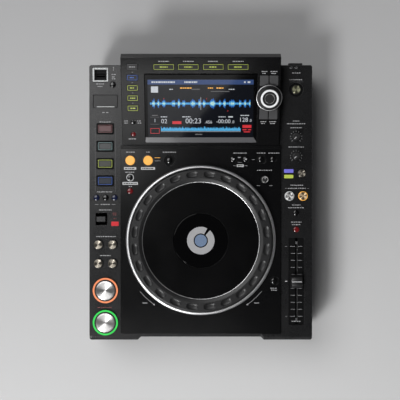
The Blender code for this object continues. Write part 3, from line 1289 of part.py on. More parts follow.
def make_fader():
    """The tempo fader: its body under the top, and the knob with its blade and carriage."""
    x, y = column_place(RIGHT, FADER_SHARES)
    floor = CASE_TOP - FADER_RECESS_DEPTH
    body_top = CASE_UNDER_TOP - CLEARANCE
    inner_half = FADER_CARRIAGE_WIDTH / 2 + CLEARANCE
    channel_half = (FADER_TRAVEL + FADER_CARRIAGE_LENGTH) / 2 + CLEARANCE
    channel_top = body_top - FADER_BODY_WALL
    channel_low = channel_top - FADER_CARRIAGE_HEIGHT - 2 * CLEARANCE
    wall = FADER_BODY_WALL
    body = box("fader_body", (-inner_half - wall, -channel_half - wall, channel_low - wall),
               (inner_half + wall, channel_half + wall, body_top), SHEET_STEEL)
    body.location = (x, y, 0)
    slot_half = FADER_BLADE_WIDTH / 2 + FADER_SLOT_GAP
    slot = box("slot", (-slot_half, -fader_slot_length() / 2, channel_low),
               (slot_half, fader_slot_length() / 2, body_top + OVERRUN))
    channel = box("channel", (-inner_half, -channel_half, channel_low), (inner_half, channel_half, channel_top))
    for cutter in (slot, channel):
        cutter.location = (x, y, 0)
    combine(body, [slot, channel])
    low = floor + FADER_KNOB_LIFT
    top = low + FADER_KNOB_HEIGHT
    levels = [(low, 0), (top - EDGE_ROUND, -FADER_KNOB_FLARE / 2), (top, -FADER_KNOB_FLARE / 2 - EDGE_ROUND)]
    knob = block("fader_knob", FADER_KNOB_WIDTH, FADER_KNOB_LENGTH, FADER_KNOB_FLARE + EDGE_ROUND, levels,
                 KEY_BLACK, (x, y, 0))
    groove = cylinder("groove", FADER_GROOVE_WIDTH, -FADER_KNOB_WIDTH, FADER_KNOB_WIDTH,
                      (x, y, top + FADER_GROOVE_WIDTH - FADER_GROOVE_DEPTH), None, ROUND_STEPS)
    combine(knob, [along_x(groove)])
    blade_half = FADER_BLADE_WIDTH / 2
    carriage_half = FADER_CARRIAGE_WIDTH / 2
    carriage_top = channel_top - CLEARANCE
    carriage_low = carriage_top - FADER_CARRIAGE_HEIGHT
    middle = (carriage_top + carriage_low) / 2
    blade = box("blade", (-blade_half, -FADER_BLADE_LENGTH / 2, middle), (blade_half, FADER_BLADE_LENGTH / 2,
                                                                      low + EDGE_ROUND))
    carriage = box("carriage", (-carriage_half, -FADER_CARRIAGE_LENGTH / 2, carriage_low),
                   (carriage_half, FADER_CARRIAGE_LENGTH / 2, carriage_top))
    for piece in (blade, carriage):
        piece.location = (x, y, 0)
    return combine(knob, [blade, carriage], "UNION")


def make_usb_port():
    """The lit frame with its well, and the socket with its tongue under it."""
    place = (*column_place(LEFT, USB_SHARES), 0)
    flange_top = CASE_UNDER_TOP - CLEARANCE
    flange_low = CASE_TOP - USB_WELL_DEPTH - USB_FLOOR
    top = CASE_TOP + USB_FRAME_RISE
    floor = CASE_TOP - USB_WELL_DEPTH
    levels = [(flange_low, KEY_FLANGE), (flange_top, KEY_FLANGE), (flange_top, 0), (top, 0)]
    port = block("usb_port", USB_FRAME_LENGTH, USB_FRAME_WIDTH, EDGE_ROUND, levels, FRAME_WHITE, place)
    margin = USB_FRAME_MARGIN
    combine(port, [block("well", USB_FRAME_LENGTH, USB_FRAME_WIDTH, EDGE_ROUND + margin,
                         [(floor, -margin), (top + OVERRUN, -margin)], None, place)])
    socket_low = floor - USB_SOCKET_DEPTH
    shell = box("shell", (-USB_SOCKET_LENGTH / 2 - USB_SHELL_WALL, -USB_SOCKET_WIDTH / 2 - USB_SHELL_WALL,
                          socket_low - USB_FLOOR),
                (USB_SOCKET_LENGTH / 2 + USB_SHELL_WALL, USB_SOCKET_WIDTH / 2 + USB_SHELL_WALL,
                 floor - USB_FLOOR / 2))
    mouth = box("mouth", (-USB_SOCKET_LENGTH / 2, -USB_SOCKET_WIDTH / 2, socket_low),
                (USB_SOCKET_LENGTH / 2, USB_SOCKET_WIDTH / 2, floor + OVERRUN))
    tongue_y = USB_SOCKET_WIDTH / 2 - USB_TONGUE_SETBACK
    tongue = box("tongue", (-USB_TONGUE_LENGTH / 2, tongue_y - USB_TONGUE_WIDTH, socket_low - USB_FLOOR / 2),
                 (USB_TONGUE_LENGTH / 2, tongue_y, floor - USB_TONGUE_SETBACK))
    for piece in (shell, mouth, tongue):
        piece.location = place
    combine(port, [shell], "UNION")
    combine(port, [mouth])
    combine(port, [tongue], "UNION")
    return port


def make_card_parts():
    """The memory card door with its barrel and pins, and the slotted well under it."""
    place = door_place()
    barrel = DOOR_BARREL_DIAMETER / 2
    half = DOOR_LENGTH / 2
    front = barrel - DOOR_WIDTH
    outline = [(front, barrel - DOOR_THICKNESS), (0, barrel - DOOR_THICKNESS), (0, barrel), (front, barrel)]
    door = side_plate("card_door", outline, -half, half, CASE_PLASTIC)
    door.location = place
    tube = along_x(cylinder("barrel", barrel, -half, half, place, None, SMALL_STEPS))
    pins = along_x(cylinder("pins", DOOR_PIN_DIAMETER / 2, -half - DOOR_PIN_LENGTH, half + DOOR_PIN_LENGTH, place,
                            None, TINY_STEPS))
    notch = box("notch", (-DOOR_NOTCH_LENGTH / 2, front - OVERRUN, barrel - DOOR_THICKNESS - OVERRUN),
                (DOOR_NOTCH_LENGTH / 2, front + DOOR_NOTCH_WIDTH, barrel + OVERRUN))
    notch.location = place
    combine(door, [tube, pins], "UNION")
    combine(door, [notch])
    middle = (*column_place(LEFT, DOOR_SHARES), 0)
    top = CASE_UNDER_TOP - CLEARANCE
    floor = CASE_TOP - CARD_WELL_DEPTH
    wall = CARD_WELL_WALL
    out = DOOR_GAP + wall
    card = block("card_slot", DOOR_LENGTH, DOOR_WIDTH, EDGE_ROUND, [(floor - wall, out), (top, out)],
                 SOCKET_BLACK, middle)
    combine(card, [block("well", DOOR_LENGTH, DOOR_WIDTH, EDGE_ROUND, [(floor, DOOR_GAP), (top + OVERRUN, DOOR_GAP)],
                         None, middle)])
    low = floor - CARD_BODY_DEPTH
    body_wall = CARD_BODY_WALL
    body = box("body", (-CARD_SLOT_LENGTH / 2 - body_wall, -CARD_SLOT_WIDTH / 2 - body_wall, low - body_wall),
               (CARD_SLOT_LENGTH / 2 + body_wall, CARD_SLOT_WIDTH / 2 + body_wall, floor - wall / 2))
    slot = box("slot", (-CARD_SLOT_LENGTH / 2, -CARD_SLOT_WIDTH / 2, low),
               (CARD_SLOT_LENGTH / 2, CARD_SLOT_WIDTH / 2, floor + OVERRUN))
    for piece in (body, slot):
        piece.location = middle
    combine(card, [body], "UNION")
    combine(card, [slot])


def post_places():
    """Where the posts under the drive and the boards stand."""
    places = []
    boards = ((BOARD_LEFT, MAIN_BOARD_WIDTH), (POWER_BOARD_LEFT, POWER_BOARD_WIDTH))
    for left, width in boards:
        for x in (left + POST_INSET, left + width - POST_INSET):
            places.append((x, BOARD_REAR - POST_INSET))
            places.append((x, BOARD_REAR - BOARD_DEPTH + POST_INSET))
    for x in (-DRIVE_WIDTH / 2 + POST_INSET, DRIVE_WIDTH / 2 - POST_INSET):
        places.append((x, DRIVE_FRONT + POST_INSET))
        places.append((x, DRIVE_REAR - POST_INSET))
    return places


def make_tray():
    """The sheet steel tray with its posts, vents and four feet."""
    tray = plate("bottom_tray", case_outline(TRAY_INSET), TRAY_BOTTOM, TRAY_TOP, SHEET_STEEL)
    combine(tray, [plate("hollow", case_outline(TRAY_INSET + TRAY_SHEET), TRAY_FLOOR, TRAY_TOP + OVERRUN)])
    joined = []
    middle = (TRAY_BOTTOM + TRAY_FLOOR) / 2
    for place in post_places():
        top = BOARD_BOTTOM - CLEARANCE
        joined.append(cylinder("post", POST_DIAMETER / 2, middle, top, (*place, 0), None, POST_STEPS))
    radius = FOOT_DIAMETER / 2
    for x in (-CASE_WIDTH / 2 + FOOT_INSET, CASE_WIDTH / 2 - FOOT_INSET):
        for y in (CASE_FRONT + FOOT_INSET, CASE_REAR - FOOT_INSET):
            profile = [(0, middle), (radius, middle), (radius - FOOT_TAPER, FOOT_EDGE)]
            profile += [(radius - FOOT_TAPER - FOOT_EDGE, 0), (0, 0)]
            joined.append(turned("foot", profile, None, (x, y, 0), None, ROUND_STEPS))
    combine(tray, joined, "UNION")
    vents = []
    for index in range(VENT_COUNT):
        x = (index - (VENT_COUNT - 1) / 2) * VENT_PITCH
        vents.append(box("vent", (x - VENT_WIDTH / 2, -VENT_LENGTH / 2, TRAY_BOTTOM - OVERRUN),
                         (x + VENT_WIDTH / 2, VENT_LENGTH / 2, TRAY_FLOOR + OVERRUN)))
    combine(tray, vents)
    return tray


def make_drive():
    """The slot-in drive: chassis with its motor, cover, feed roller and spindle."""
    half = DRIVE_WIDTH / 2
    sheet = DRIVE_SHEET
    floor = DRIVE_BOTTOM + sheet
    chassis = box("drive_chassis", (-half, DRIVE_FRONT, DRIVE_BOTTOM), (half, DRIVE_REAR, DRIVE_TOP), BARE_STEEL)
    hollow = box("hollow", (sheet - half, DRIVE_FRONT + sheet, floor), (half - sheet, DRIVE_REAR - sheet,
                                                                     DRIVE_TOP + OVERRUN))
    mouth_low = SLOT_HEIGHT - SLOT_GAP / 2 - DRIVE_LIP
    mouth = box("mouth", (-SLOT_LENGTH / 2 - DRIVE_LIP, DRIVE_FRONT - OVERRUN, mouth_low),
                (SLOT_LENGTH / 2 + DRIVE_LIP, DRIVE_FRONT + sheet + OVERRUN, DRIVE_TOP + OVERRUN))
    combine(chassis, [hollow, mouth])
    spindle = (SPINDLE_PLACE[0], SPINDLE_PLACE[1], 0)
    motor = cylinder("motor", MOTOR_DIAMETER / 2, DRIVE_BOTTOM + sheet / 2, MOTOR_TOP, spindle)
    combine(chassis, [motor], "UNION")
    shaft_low = TURNTABLE_TOP - TURNTABLE_THICKNESS - SPINDLE_SHAFT_LENGTH
    bore = cylinder("bore", SPINDLE_SHAFT_DIAMETER / 2 + SHAFT_GAP, shaft_low - CLEARANCE, MOTOR_TOP + OVERRUN,
                    spindle, None, TINY_STEPS)
    shaft_hole = along_x(cylinder("hole", ROLLER_SHAFT_DIAMETER / 2 + SHAFT_GAP, -half - OVERRUN, half + OVERRUN,
                                  ROLLER_PLACE, None, TINY_STEPS))
    combine(chassis, [bore, shaft_hole])
    cover_low = DRIVE_TOP + CLEARANCE
    cover = box("drive_cover", (-half, DRIVE_FRONT, cover_low), (half, DRIVE_REAR, cover_low + sheet), BARE_STEEL)
    ribs = []
    for y in (DRIVE_FRONT + ROLLER_SETBACK, SPINDLE_PLACE[1] + TURNTABLE_DIAMETER):
        low = (ROLLER_SETBACK - half, y - DRIVE_RIB_WIDTH / 2, cover_low - DRIVE_RIB_DROP)
        high = (half - ROLLER_SETBACK, y + DRIVE_RIB_WIDTH / 2, cover_low + sheet / 2)
        ribs.append(box("rib", low, high))
    combine(cover, ribs, "UNION")
    radius = ROLLER_DIAMETER / 2
    shaft = ROLLER_SHAFT_DIAMETER / 2
    reach = half - sheet - CLEARANCE
    profile = [(0, half), (shaft, half), (shaft, reach), (radius, reach), (radius - ROLLER_WAIST, 0)]
    profile += [(radius, -reach), (shaft, -reach), (shaft, -half), (0, -half)]
    along_x(turned("loading_roller", profile, ROLLER_RUBBER, ROLLER_PLACE, None, SMALL_STEPS))
    table = TURNTABLE_DIAMETER / 2
    hub = SPINDLE_HUB_DIAMETER / 2
    shaft = SPINDLE_SHAFT_DIAMETER / 2
    under = -TURNTABLE_THICKNESS
    profile = [(0, SPINDLE_HUB_RISE), (hub - SHAFT_GAP, SPINDLE_HUB_RISE), (hub, 0), (table, 0), (table, under)]
    profile += [(shaft, under), (shaft, under - SPINDLE_SHAFT_LENGTH), (0, under - SPINDLE_SHAFT_LENGTH)]
    turned("drive_spindle", profile, SOCKET_BLACK, SPINDLE_PLACE)


def make_bezel():
    """The mouth of the disc slot, set in the front wall."""
    levels = [(-BEZEL_DEPTH, 0), (CLEARANCE, 0), (CLEARANCE, BEZEL_FLANGE)]
    levels += [(BEZEL_PROUD - EDGE_ROUND / 2, BEZEL_FLANGE), (BEZEL_PROUD, BEZEL_FLANGE - EDGE_ROUND / 2)]
    bezel = block("slot_bezel", BEZEL_LENGTH, BEZEL_WIDTH, BEZEL_CORNER, levels, DECK_GLOSS)
    place = (0, MIDDLE_FRONT, SLOT_HEIGHT)
    slot = block("slot", SLOT_LENGTH, SLOT_GAP, SLOT_GAP / 3,
                 [(-BEZEL_DEPTH - OVERRUN, 0), (0, 0), (BEZEL_PROUD, SLOT_FLARE), (OVERRUN, SLOT_FLARE)])
    return combine(facing_front(bezel, place), [facing_front(slot, place)])


def make_boards():
    """The main board and the power board with the parts that stand on them."""
    top = BOARD_BOTTOM + BOARD_THICKNESS
    inside = (BOARD_BOTTOM + top) / 2
    front = BOARD_REAR - BOARD_DEPTH
    right = BOARD_LEFT + MAIN_BOARD_WIDTH
    main = box("main_board", (BOARD_LEFT, front, BOARD_BOTTOM), (right, BOARD_REAR, top), BOARD_GREEN)
    parts = []
    x = BOARD_LEFT + MAIN_BOARD_WIDTH / 2
    y = front + BOARD_DEPTH / 2
    base = HEATSINK_SIDE / 2
    parts.append(box("heatsink", (x - base, y - base, inside), (x + base, y + base, top + HEATSINK_BASE)))
    for index in range(FIN_COUNT):
        fin_x = x - base + index * (HEATSINK_SIDE - HEATSINK_FIN) / (FIN_COUNT - 1)
        parts.append(box("fin", (fin_x, y - base, top + HEATSINK_BASE / 2),
                         (fin_x + HEATSINK_FIN, y + base, top + HEATSINK_HEIGHT)))
    for chip_x in (x - 2 * CHIP_SIDE, x + 2 * CHIP_SIDE):
        parts.append(box("chip", (chip_x - CHIP_SIDE / 2, y - CHIP_SIDE / 2, inside),
                         (chip_x + CHIP_SIDE / 2, y + CHIP_SIDE / 2, top + CHIP_HEIGHT)))
    combine(main, parts, "UNION")
    right = POWER_BOARD_LEFT + POWER_BOARD_WIDTH
    power = box("power_board", (POWER_BOARD_LEFT, front, BOARD_BOTTOM), (right, BOARD_REAR, top), BOARD_GREEN)
    x = POWER_BOARD_LEFT + POWER_BOARD_WIDTH / 2
    half = TRANSFORMER_SIDE / 2
    parts = [box("transformer", (x - half, y - half, inside), (x + half, y + half, top + TRANSFORMER_HEIGHT))]
    for place in ((x, y - 2 * CAPACITOR_DIAMETER, 0), (x, y + 2 * CAPACITOR_DIAMETER, 0)):
        parts.append(cylinder("capacitor", CAPACITOR_DIAMETER / 2, inside, top + CAPACITOR_HEIGHT, place, None,
                              SMALL_STEPS))
    combine(power, parts, "UNION")


def rear_x(share):
    return share * REAR_WINDOW_LENGTH / 2


def make_inlet():
    """The power inlet: flanged body, recess and three pins."""
    place = (rear_x(INLET_SHARE), REAR_INNER, SOCKET_HEIGHT)
    outer = INLET_FLANGE_THICKNESS
    levels = [(-INLET_BODY_DEPTH, 0), (0, 0), (0, INLET_FLANGE), (outer, INLET_FLANGE)]
    inlet = facing_rear(block("power_inlet", INLET_LENGTH, INLET_WIDTH, INLET_CORNER, levels, SOCKET_BLACK), place)
    wall = INLET_WALL
    floor = outer - INLET_RECESS_DEPTH
    recess = block("recess", INLET_LENGTH, INLET_WIDTH, INLET_CORNER, [(floor, -wall), (OVERRUN, -wall)])
    combine(inlet, [facing_rear(recess, place)])
    pins = []
    for x, up in ((-INLET_PIN_PITCH, 0), (0, INLET_EARTH_OFFSET), (INLET_PIN_PITCH, 0)):
        low = (x - INLET_PIN_THICKNESS / 2, -up - INLET_PIN_WIDTH / 2, floor - wall / 2)
        high = (x + INLET_PIN_THICKNESS / 2, -up + INLET_PIN_WIDTH / 2, floor + INLET_PIN_LENGTH)
        pins.append(facing_rear(box("pin", low, high), place))
    return combine(inlet, pins, "UNION")


def phono_place(index):
    x = rear_x(AUDIO_SHARE) + (index - (PHONO_COUNT - 1) / 2) * PHONO_PITCH
    return x, PANEL_INNER - CLEARANCE, SOCKET_HEIGHT


def make_audio_sockets():
    """Four round sockets on one moulded block behind the panel."""
    length = PHONO_COUNT * PHONO_PITCH
    place = (rear_x(AUDIO_SHARE), PANEL_INNER - CLEARANCE, SOCKET_HEIGHT)
    levels = [(-SOCKET_BLOCK_DEPTH, 0), (0, 0)]
    audio = block("audio_sockets", length, SOCKET_BLOCK_WIDTH, EDGE_ROUND, levels, SOCKET_BLACK)
    facing_rear(audio, place)
    reach = REAR_PANEL_SHEET + CLEARANCE + PHONO_LENGTH
    barrels = []
    bores = []
    for index in range(PHONO_COUNT):
        barrel = cylinder("barrel", PHONO_DIAMETER / 2, -SOCKET_BLOCK_DEPTH / 2, reach, (0, 0, 0), None, SMALL_STEPS)
        bore = cylinder("bore", PHONO_BORE_DIAMETER / 2, reach - PHONO_BORE_DEPTH, reach + OVERRUN, (0, 0, 0), None,
                        TINY_STEPS)
        barrels.append(facing_rear(barrel, phono_place(index)))
        bores.append(facing_rear(bore, phono_place(index)))
    combine(audio, barrels, "UNION")
    combine(audio, bores)
    return audio


def data_places():
    """The middles of the network socket and the device socket."""
    x = rear_x(DATA_SHARE)
    y = PANEL_INNER - CLEARANCE
    return (x - SOCKET_SPACING / 2, y, SOCKET_HEIGHT), (x + SOCKET_SPACING / 2, y, SOCKET_HEIGHT)


def make_data_sockets():
    """The network socket and the square device socket on one base behind the panel."""
    network, device = data_places()
    wall = SOCKET_WALL
    length = SOCKET_SPACING + NETWORK_MOUTH_LENGTH + 2 * wall
    width = NETWORK_MOUTH_WIDTH + 2 * wall
    middle = (rear_x(DATA_SHARE), network[1], SOCKET_HEIGHT)
    data = block("data_sockets", length, width, EDGE_ROUND, [(-NETWORK_DEPTH, 0), (0, 0)], BARE_STEEL)
    facing_rear(data, middle)
    low = -NETWORK_MOUTH_DEPTH
    mouth_half = NETWORK_MOUTH_LENGTH / 2
    bottom = NETWORK_MOUTH_WIDTH / 2
    mouth = box("mouth", (-mouth_half, -bottom, low), (mouth_half, bottom, OVERRUN))
    latch = box("latch", (-NETWORK_LATCH_LENGTH / 2, bottom - KEY_EDGE, low),
                (NETWORK_LATCH_LENGTH / 2, bottom + NETWORK_LATCH_WIDTH - KEY_EDGE, OVERRUN))
    device_half = DEVICE_MOUTH_LENGTH / 2
    side = DEVICE_MOUTH_WIDTH / 2
    square = box("square", (-device_half, -side, -DEVICE_MOUTH_DEPTH), (device_half, side, OVERRUN))
    tongue = box("tongue", (-DEVICE_TONGUE_LENGTH / 2, -DEVICE_TONGUE_WIDTH / 2, -DEVICE_MOUTH_DEPTH - wall / 2),
                 (DEVICE_TONGUE_LENGTH / 2, DEVICE_TONGUE_WIDTH / 2, -wall))
    combine(data, [facing_rear(mouth, network), facing_rear(latch, network), facing_rear(square, device)])
    return combine(data, [facing_rear(tongue, device)], "UNION")


def make_rear_panel():
    """The sheet behind the rear window, with an opening for each socket."""
    half = REAR_WINDOW_LENGTH / 2 + REAR_PANEL_LAP
    low = REAR_WINDOW_BOTTOM - REAR_PANEL_LAP
    high = REAR_WINDOW_TOP + REAR_PANEL_LAP
    panel = box("rear_panel", (-half, PANEL_INNER, low), (half, PANEL_OUTER, high), SHEET_STEEL)
    through = [(-REAR_PANEL_SHEET - OVERRUN, CLEARANCE), (OVERRUN, CLEARANCE)]
    inlet = block("hole", INLET_LENGTH, INLET_WIDTH, INLET_CORNER, through)
    cutters = [facing_rear(inlet, (rear_x(INLET_SHARE), PANEL_OUTER, SOCKET_HEIGHT))]
    for index in range(PHONO_COUNT):
        hole = cylinder("hole", PHONO_DIAMETER / 2 + CLEARANCE, -OVERRUN, OVERRUN, (0, 0, 0), None, SMALL_STEPS)
        cutters.append(facing_rear(hole, phono_place(index)))
    network, device = data_places()
    mouth = block("hole", NETWORK_MOUTH_LENGTH, NETWORK_MOUTH_WIDTH + NETWORK_LATCH_WIDTH, EDGE_ROUND, through)
    square = block("hole", DEVICE_MOUTH_LENGTH, DEVICE_MOUTH_WIDTH, EDGE_ROUND, through)
    cutters.append(facing_rear(mouth, (network[0], PANEL_OUTER, SOCKET_HEIGHT)))
    cutters.append(facing_rear(square, (device[0], PANEL_OUTER, SOCKET_HEIGHT)))
    return combine(panel, cutters)


def make_power_button():
    """The power button in the rear face: it stands proud and has a flange inside the wall."""
    flange_out = -WALL - CLEARANCE
    flange_in = flange_out - KEY_FLANGE_THICKNESS
    top = POWER_PROUD
    levels = [(flange_in, KEY_FLANGE), (flange_out, KEY_FLANGE), (flange_out, 0), (top - EDGE_ROUND, 0)]
    levels.append((top, -EDGE_ROUND))
    button = block("power_button", POWER_LENGTH, POWER_HEIGHT, KEY_CORNER, levels, KEY_BLACK)
    return facing_rear(button, (power_x(), CASE_REAR, power_z()))


def make_keys():
    """Every key: the single ones, the pads and the rows."""
    for name, side, shares, diameter, rise, steps, crown, surface in COLUMN_KEYS:
        make_round_key(name, COLUMN_PANEL, column_place(side, shares), diameter, rise, steps, crown, surface)
    for name, shares, diameter, rise, steps, crown, surface in DECK_KEYS:
        make_round_key(name, DECK_PANEL, deck_place(shares), diameter, rise, steps, crown, surface)
    for number, cap in enumerate(PADS, 1):
        make_pad(f"hot_cue_{number}", COLUMN_PANEL, cap, PAD_RUBBER)
    make_row("bank_keys", COLUMN_PANEL, BANK_ROW, KEY_BLACK)
    make_row("tempo_keys", COLUMN_PANEL, TEMPO_ROW, KEY_BLACK)
    make_row("beat_slip_keys", DECK_PANEL, BEAT_SLIP_ROW, KEY_BLACK)
    make_row("call_keys", DECK_PANEL, CALL_ROW, KEY_BLACK)
    make_row("source_keys", HOOD_PANEL, SOURCE_ROW, KEY_BLACK)
    make_row("browse_keys", HOOD_PANEL, BROWSE_ROW, KEY_BLACK)
    window = SELECTOR_SHAFT_DIAMETER + 2 * (SELECTOR_GUIDE_WALL + 3 * CLEARANCE)
    guide_window = round_cap(hood_place(SELECTOR_SHARES), window, 0)
    make_row("navigation_keys", HOOD_PANEL, NAV_ROW, KEY_BLACK, guide_window)


def main():
    make_upper_case()
    make_tray()
    make_deck()
    make_hood()
    make_screen()
    make_lcd()
    make_trim_ring()
    make_pillar()
    make_lens()
    make_jog_wheel()
    make_jog_plate()
    make_keys()
    make_knob("touch_brake_knob", COLUMN_PANEL, column_place(RIGHT, TOUCH_SHARES), KNOB_LOW_DEG)
    make_knob("release_start_knob", COLUMN_PANEL, column_place(RIGHT, RELEASE_SHARES), KNOB_LOW_DEG)
    make_knob("jog_adjust_knob", DECK_PANEL, deck_place(JOG_ADJUST_SHARES), 0)
    make_selector()
    make_lever()
    make_fader()
    make_usb_port()
    make_card_parts()
    make_bezel()
    make_drive()
    make_boards()
    make_rear_panel()
    make_inlet()
    make_audio_sockets()
    make_data_sockets()
    make_power_button()


main()
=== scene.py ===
# %% [markdown]
# # A tabletop disc player, dressed for its portrait
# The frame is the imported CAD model: a flat housing, a deck with a jog wheel, a hood with a tilted
# screen and two columns of controls. This lesson gives every piece its fine form and its finish.
# Pieces are drawn in millimetres with bmesh operators and made small at the end, in one place.

# %% Load the frame
import math

import bmesh
import bpy
from mathutils import Matrix, Vector


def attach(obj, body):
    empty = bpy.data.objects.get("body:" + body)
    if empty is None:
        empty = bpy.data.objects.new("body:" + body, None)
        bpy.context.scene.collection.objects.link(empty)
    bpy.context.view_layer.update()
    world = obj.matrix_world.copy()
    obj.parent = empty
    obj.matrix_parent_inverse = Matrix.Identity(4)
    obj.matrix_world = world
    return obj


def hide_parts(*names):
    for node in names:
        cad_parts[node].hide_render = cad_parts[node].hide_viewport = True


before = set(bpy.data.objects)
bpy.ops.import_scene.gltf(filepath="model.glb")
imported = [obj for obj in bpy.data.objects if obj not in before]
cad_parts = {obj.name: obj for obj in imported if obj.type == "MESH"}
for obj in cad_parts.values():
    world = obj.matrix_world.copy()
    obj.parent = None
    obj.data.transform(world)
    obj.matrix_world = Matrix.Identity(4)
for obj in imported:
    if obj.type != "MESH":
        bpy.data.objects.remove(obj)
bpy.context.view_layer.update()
MM = 0.001
HOUSING = "housing"

# %% [markdown]
# ## The camera
# The photograph looks straight down on the player from about one and a quarter metres. A lens of
# this length makes 400 pixels span the same width of table, so shapes can be compared one to one.

# %% Camera
CAMERA_PLACE = (-1.1, -2.0, 1265.0)
CAMERA_LENS = 74.36
SENSOR_WIDTH = 36.0

camera_data = bpy.data.cameras.new("camera")
camera_data.lens = CAMERA_LENS
camera_data.sensor_width = SENSOR_WIDTH
camera_data.clip_end = 50
camera = bpy.data.objects.new("camera", camera_data)
camera.location = Vector(CAMERA_PLACE) * MM
bpy.context.scene.collection.objects.link(camera)
bpy.context.scene.camera = camera
bpy.context.scene.view_settings.view_transform = "Standard"
print("camera looks down from", CAMERA_PLACE[2], "mm")

# %% [markdown]
# ## Sums of sockets
# A shader graph is easier to read as sums. The first class wraps a socket, and each operator on it
# adds the Math node that does the work, also when the plain number stands first. The second one is a
# material: it adds every other node, and its sizes are in millimetres.


# %% Shader sums
class Flow:
    """A socket that carries a number, with the operators that are used on it."""

    def __init__(self, shade, socket):
        self.shade = shade
        self.socket = socket

    def math(self, operation, *others):
        values = dict(enumerate((self, *others)))
        return self.shade.flow(0, "ShaderNodeMath", values, {"operation": operation})

    def __add__(self, other):
        return self.math("ADD", other)

    def __sub__(self, other):
        return self.math("SUBTRACT", other)

    def __mul__(self, other):
        return self.math("MULTIPLY", other)

    def __truediv__(self, other):
        return self.math("DIVIDE", other)

    __radd__ = __add__
    __rmul__ = __mul__

    def clamped(self):
        return self.math("MAXIMUM", 0.0).math("MINIMUM", 1.0)


class Shade:
    """One material, its Principled shader and the nodes that are added to it."""

    def __init__(self, name, **constants):
        self.material = bpy.data.materials.new(name)
        self.material.use_nodes = True
        self.tree = self.material.node_tree
        self.shader = self.tree.nodes["Principled BSDF"]
        for words, value in constants.items():
            socket = self.shader.inputs[words.replace("_", " ").title().replace("Ior", "IOR")]
            socket.default_value = (*value, 1.0) if isinstance(value, tuple) else value

    def node(self, kind, inputs=None, settings=None):
        """Adds a node: its settings first, then the values or links of its sockets."""
        made = self.tree.nodes.new(kind)
        for words, value in (settings or {}).items():
            setattr(made, words, value)
        for key, value in (inputs or {}).items():
            self.feed(made.inputs[key], value)
        return made

    def flow(self, output, kind, inputs=None, settings=None):
        """Adds a node and wraps one of its outputs."""
        return Flow(self, self.node(kind, inputs, settings).outputs[output])

    def feed(self, socket, value):
        if isinstance(value, Flow):
            self.tree.links.new(value.socket, socket)
        else:
            socket.default_value = value

    def place(self, scale=(1, 1, 1)):
        """Object coordinates, stretched."""
        raw = self.flow("Object", "ShaderNodeTexCoord")
        return self.flow("Vector", "ShaderNodeMapping", {"Vector": raw, "Scale": scale})

    def axes(self):
        """Object coordinates as three numbers."""
        parts = self.node("ShaderNodeSeparateXYZ", {"Vector": self.place()}).outputs
        return [Flow(self, part) for part in parts]

    def noise(self, size_mm, detail=3.0, place=None):
        """Cloudy noise whose lumps are about this many millimetres wide."""
        values = {"Vector": place or self.place(), "Scale": 1 / (size_mm * MM), "Detail": detail}
        return self.flow("Fac", "ShaderNodeTexNoise", values)

    def blend(self, share, first, second):
        """A colour between two, by a share."""
        made = self.node("ShaderNodeMix", {"Factor": share}, {"data_type": "RGBA"})
        for socket, value in zip((made.inputs[6], made.inputs[7]), (first, second)):
            self.feed(socket, (*value, 1.0))
        return Flow(self, made.outputs[2])

    def colour(self, flow):
        self.feed(self.shader.inputs["Base Color"], flow)

    def rough(self, flow):
        self.feed(self.shader.inputs["Roughness"], flow)

    def glow(self, flow):
        self.feed(self.shader.inputs["Emission Color"], flow)

    def bump(self, height, depth_mm, strength):
        values = {"Height": height, "Distance": depth_mm * MM, "Strength": strength}
        self.feed(self.shader.inputs["Normal"], self.flow("Normal", "ShaderNodeBump", values))


print("shader sums ready")

# %% [markdown]
# ## Studio
# The backdrop is plain paper with painted shade: its colour runs from mid grey at the top left to pale
# grey in front, standing in for how the light falls off across it. A gloss panel shows what it mirrors,
# so a dim ceiling keeps it black. One wide lamp behind at the left gives the sheen on the housing's left
# column, one small lamp in front at the left draws the two wedges on the turned metal, and a low one in
# front lights the ring and the glass lip. The tilted hood mirrors a place of its own, so a card with a
# slanted edge hangs there and gives the slanted sheen on the screen.

# %% Floor
FLOOR_HALF = 6.0
PAPER_SHADED = (0.43, 0.43, 0.435)
PAPER_LIT = (0.66, 0.66, 0.66)
PAPER_SHADE_SPAN = 0.62
PAPER_SHADE_WAY = (0.35, -0.65)


def make_paper():
    shade = Shade("backdrop_paper", roughness=0.9, specular_ior_level=0.1)
    x, y, _ = shade.axes()
    # Painted shade: the paper is darker towards the top left and paler in front, as the light falls off.
    across = (PAPER_SHADE_WAY[0] * x + PAPER_SHADE_WAY[1] * y) / PAPER_SHADE_SPAN + 0.5
    fibre = shade.noise(3.0)
    shade.colour(shade.blend((across + 0.03 * fibre).clamped(), PAPER_SHADED, PAPER_LIT))
    return shade.material


def stage_mesh(name, work, material):
    """A mesh of the studio, which isn't part of the object."""
    mesh = bpy.data.meshes.new(name)
    work.to_mesh(mesh)
    work.free()
    mesh.materials.append(material)
    made = bpy.data.objects.new(name, mesh)
    bpy.context.scene.collection.objects.link(made)
    return made


work = bmesh.new()
bmesh.ops.create_grid(work, x_segments=1, y_segments=1, size=FLOOR_HALF)
stage_mesh("paper_floor", work, make_paper())
print("floor", 2 * FLOOR_HALF, "m wide")

# %% Card over the hood
CARD_HEIGHT = 2.2
CARD_CORNERS = ((0.20, -0.60), (-0.15, -1.00), (-1.1, -1.00), (-1.1, -0.60))
CARD_POWER = 1.2
CARD_FRONT = -1.02
CARD_FADE = 0.47
CARD_DIM = (0.12, 0.12, 0.12)


def make_card():
    """A lit card whose slanted edge is what the hood mirrors; it dims towards the front."""
    shade = Shade("card_light", roughness=1.0, emission_strength=CARD_POWER)
    _, y, _ = shade.axes()
    shade.glow(shade.blend(((y - CARD_FRONT) / CARD_FADE).clamped(), CARD_DIM, (1.0, 1.0, 1.0)))
    card = bmesh.new()
    card.faces.new([card.verts.new((*corner, CARD_HEIGHT)) for corner in reversed(CARD_CORNERS)])
    return stage_mesh("hood_card", card, shade.material)


make_card()

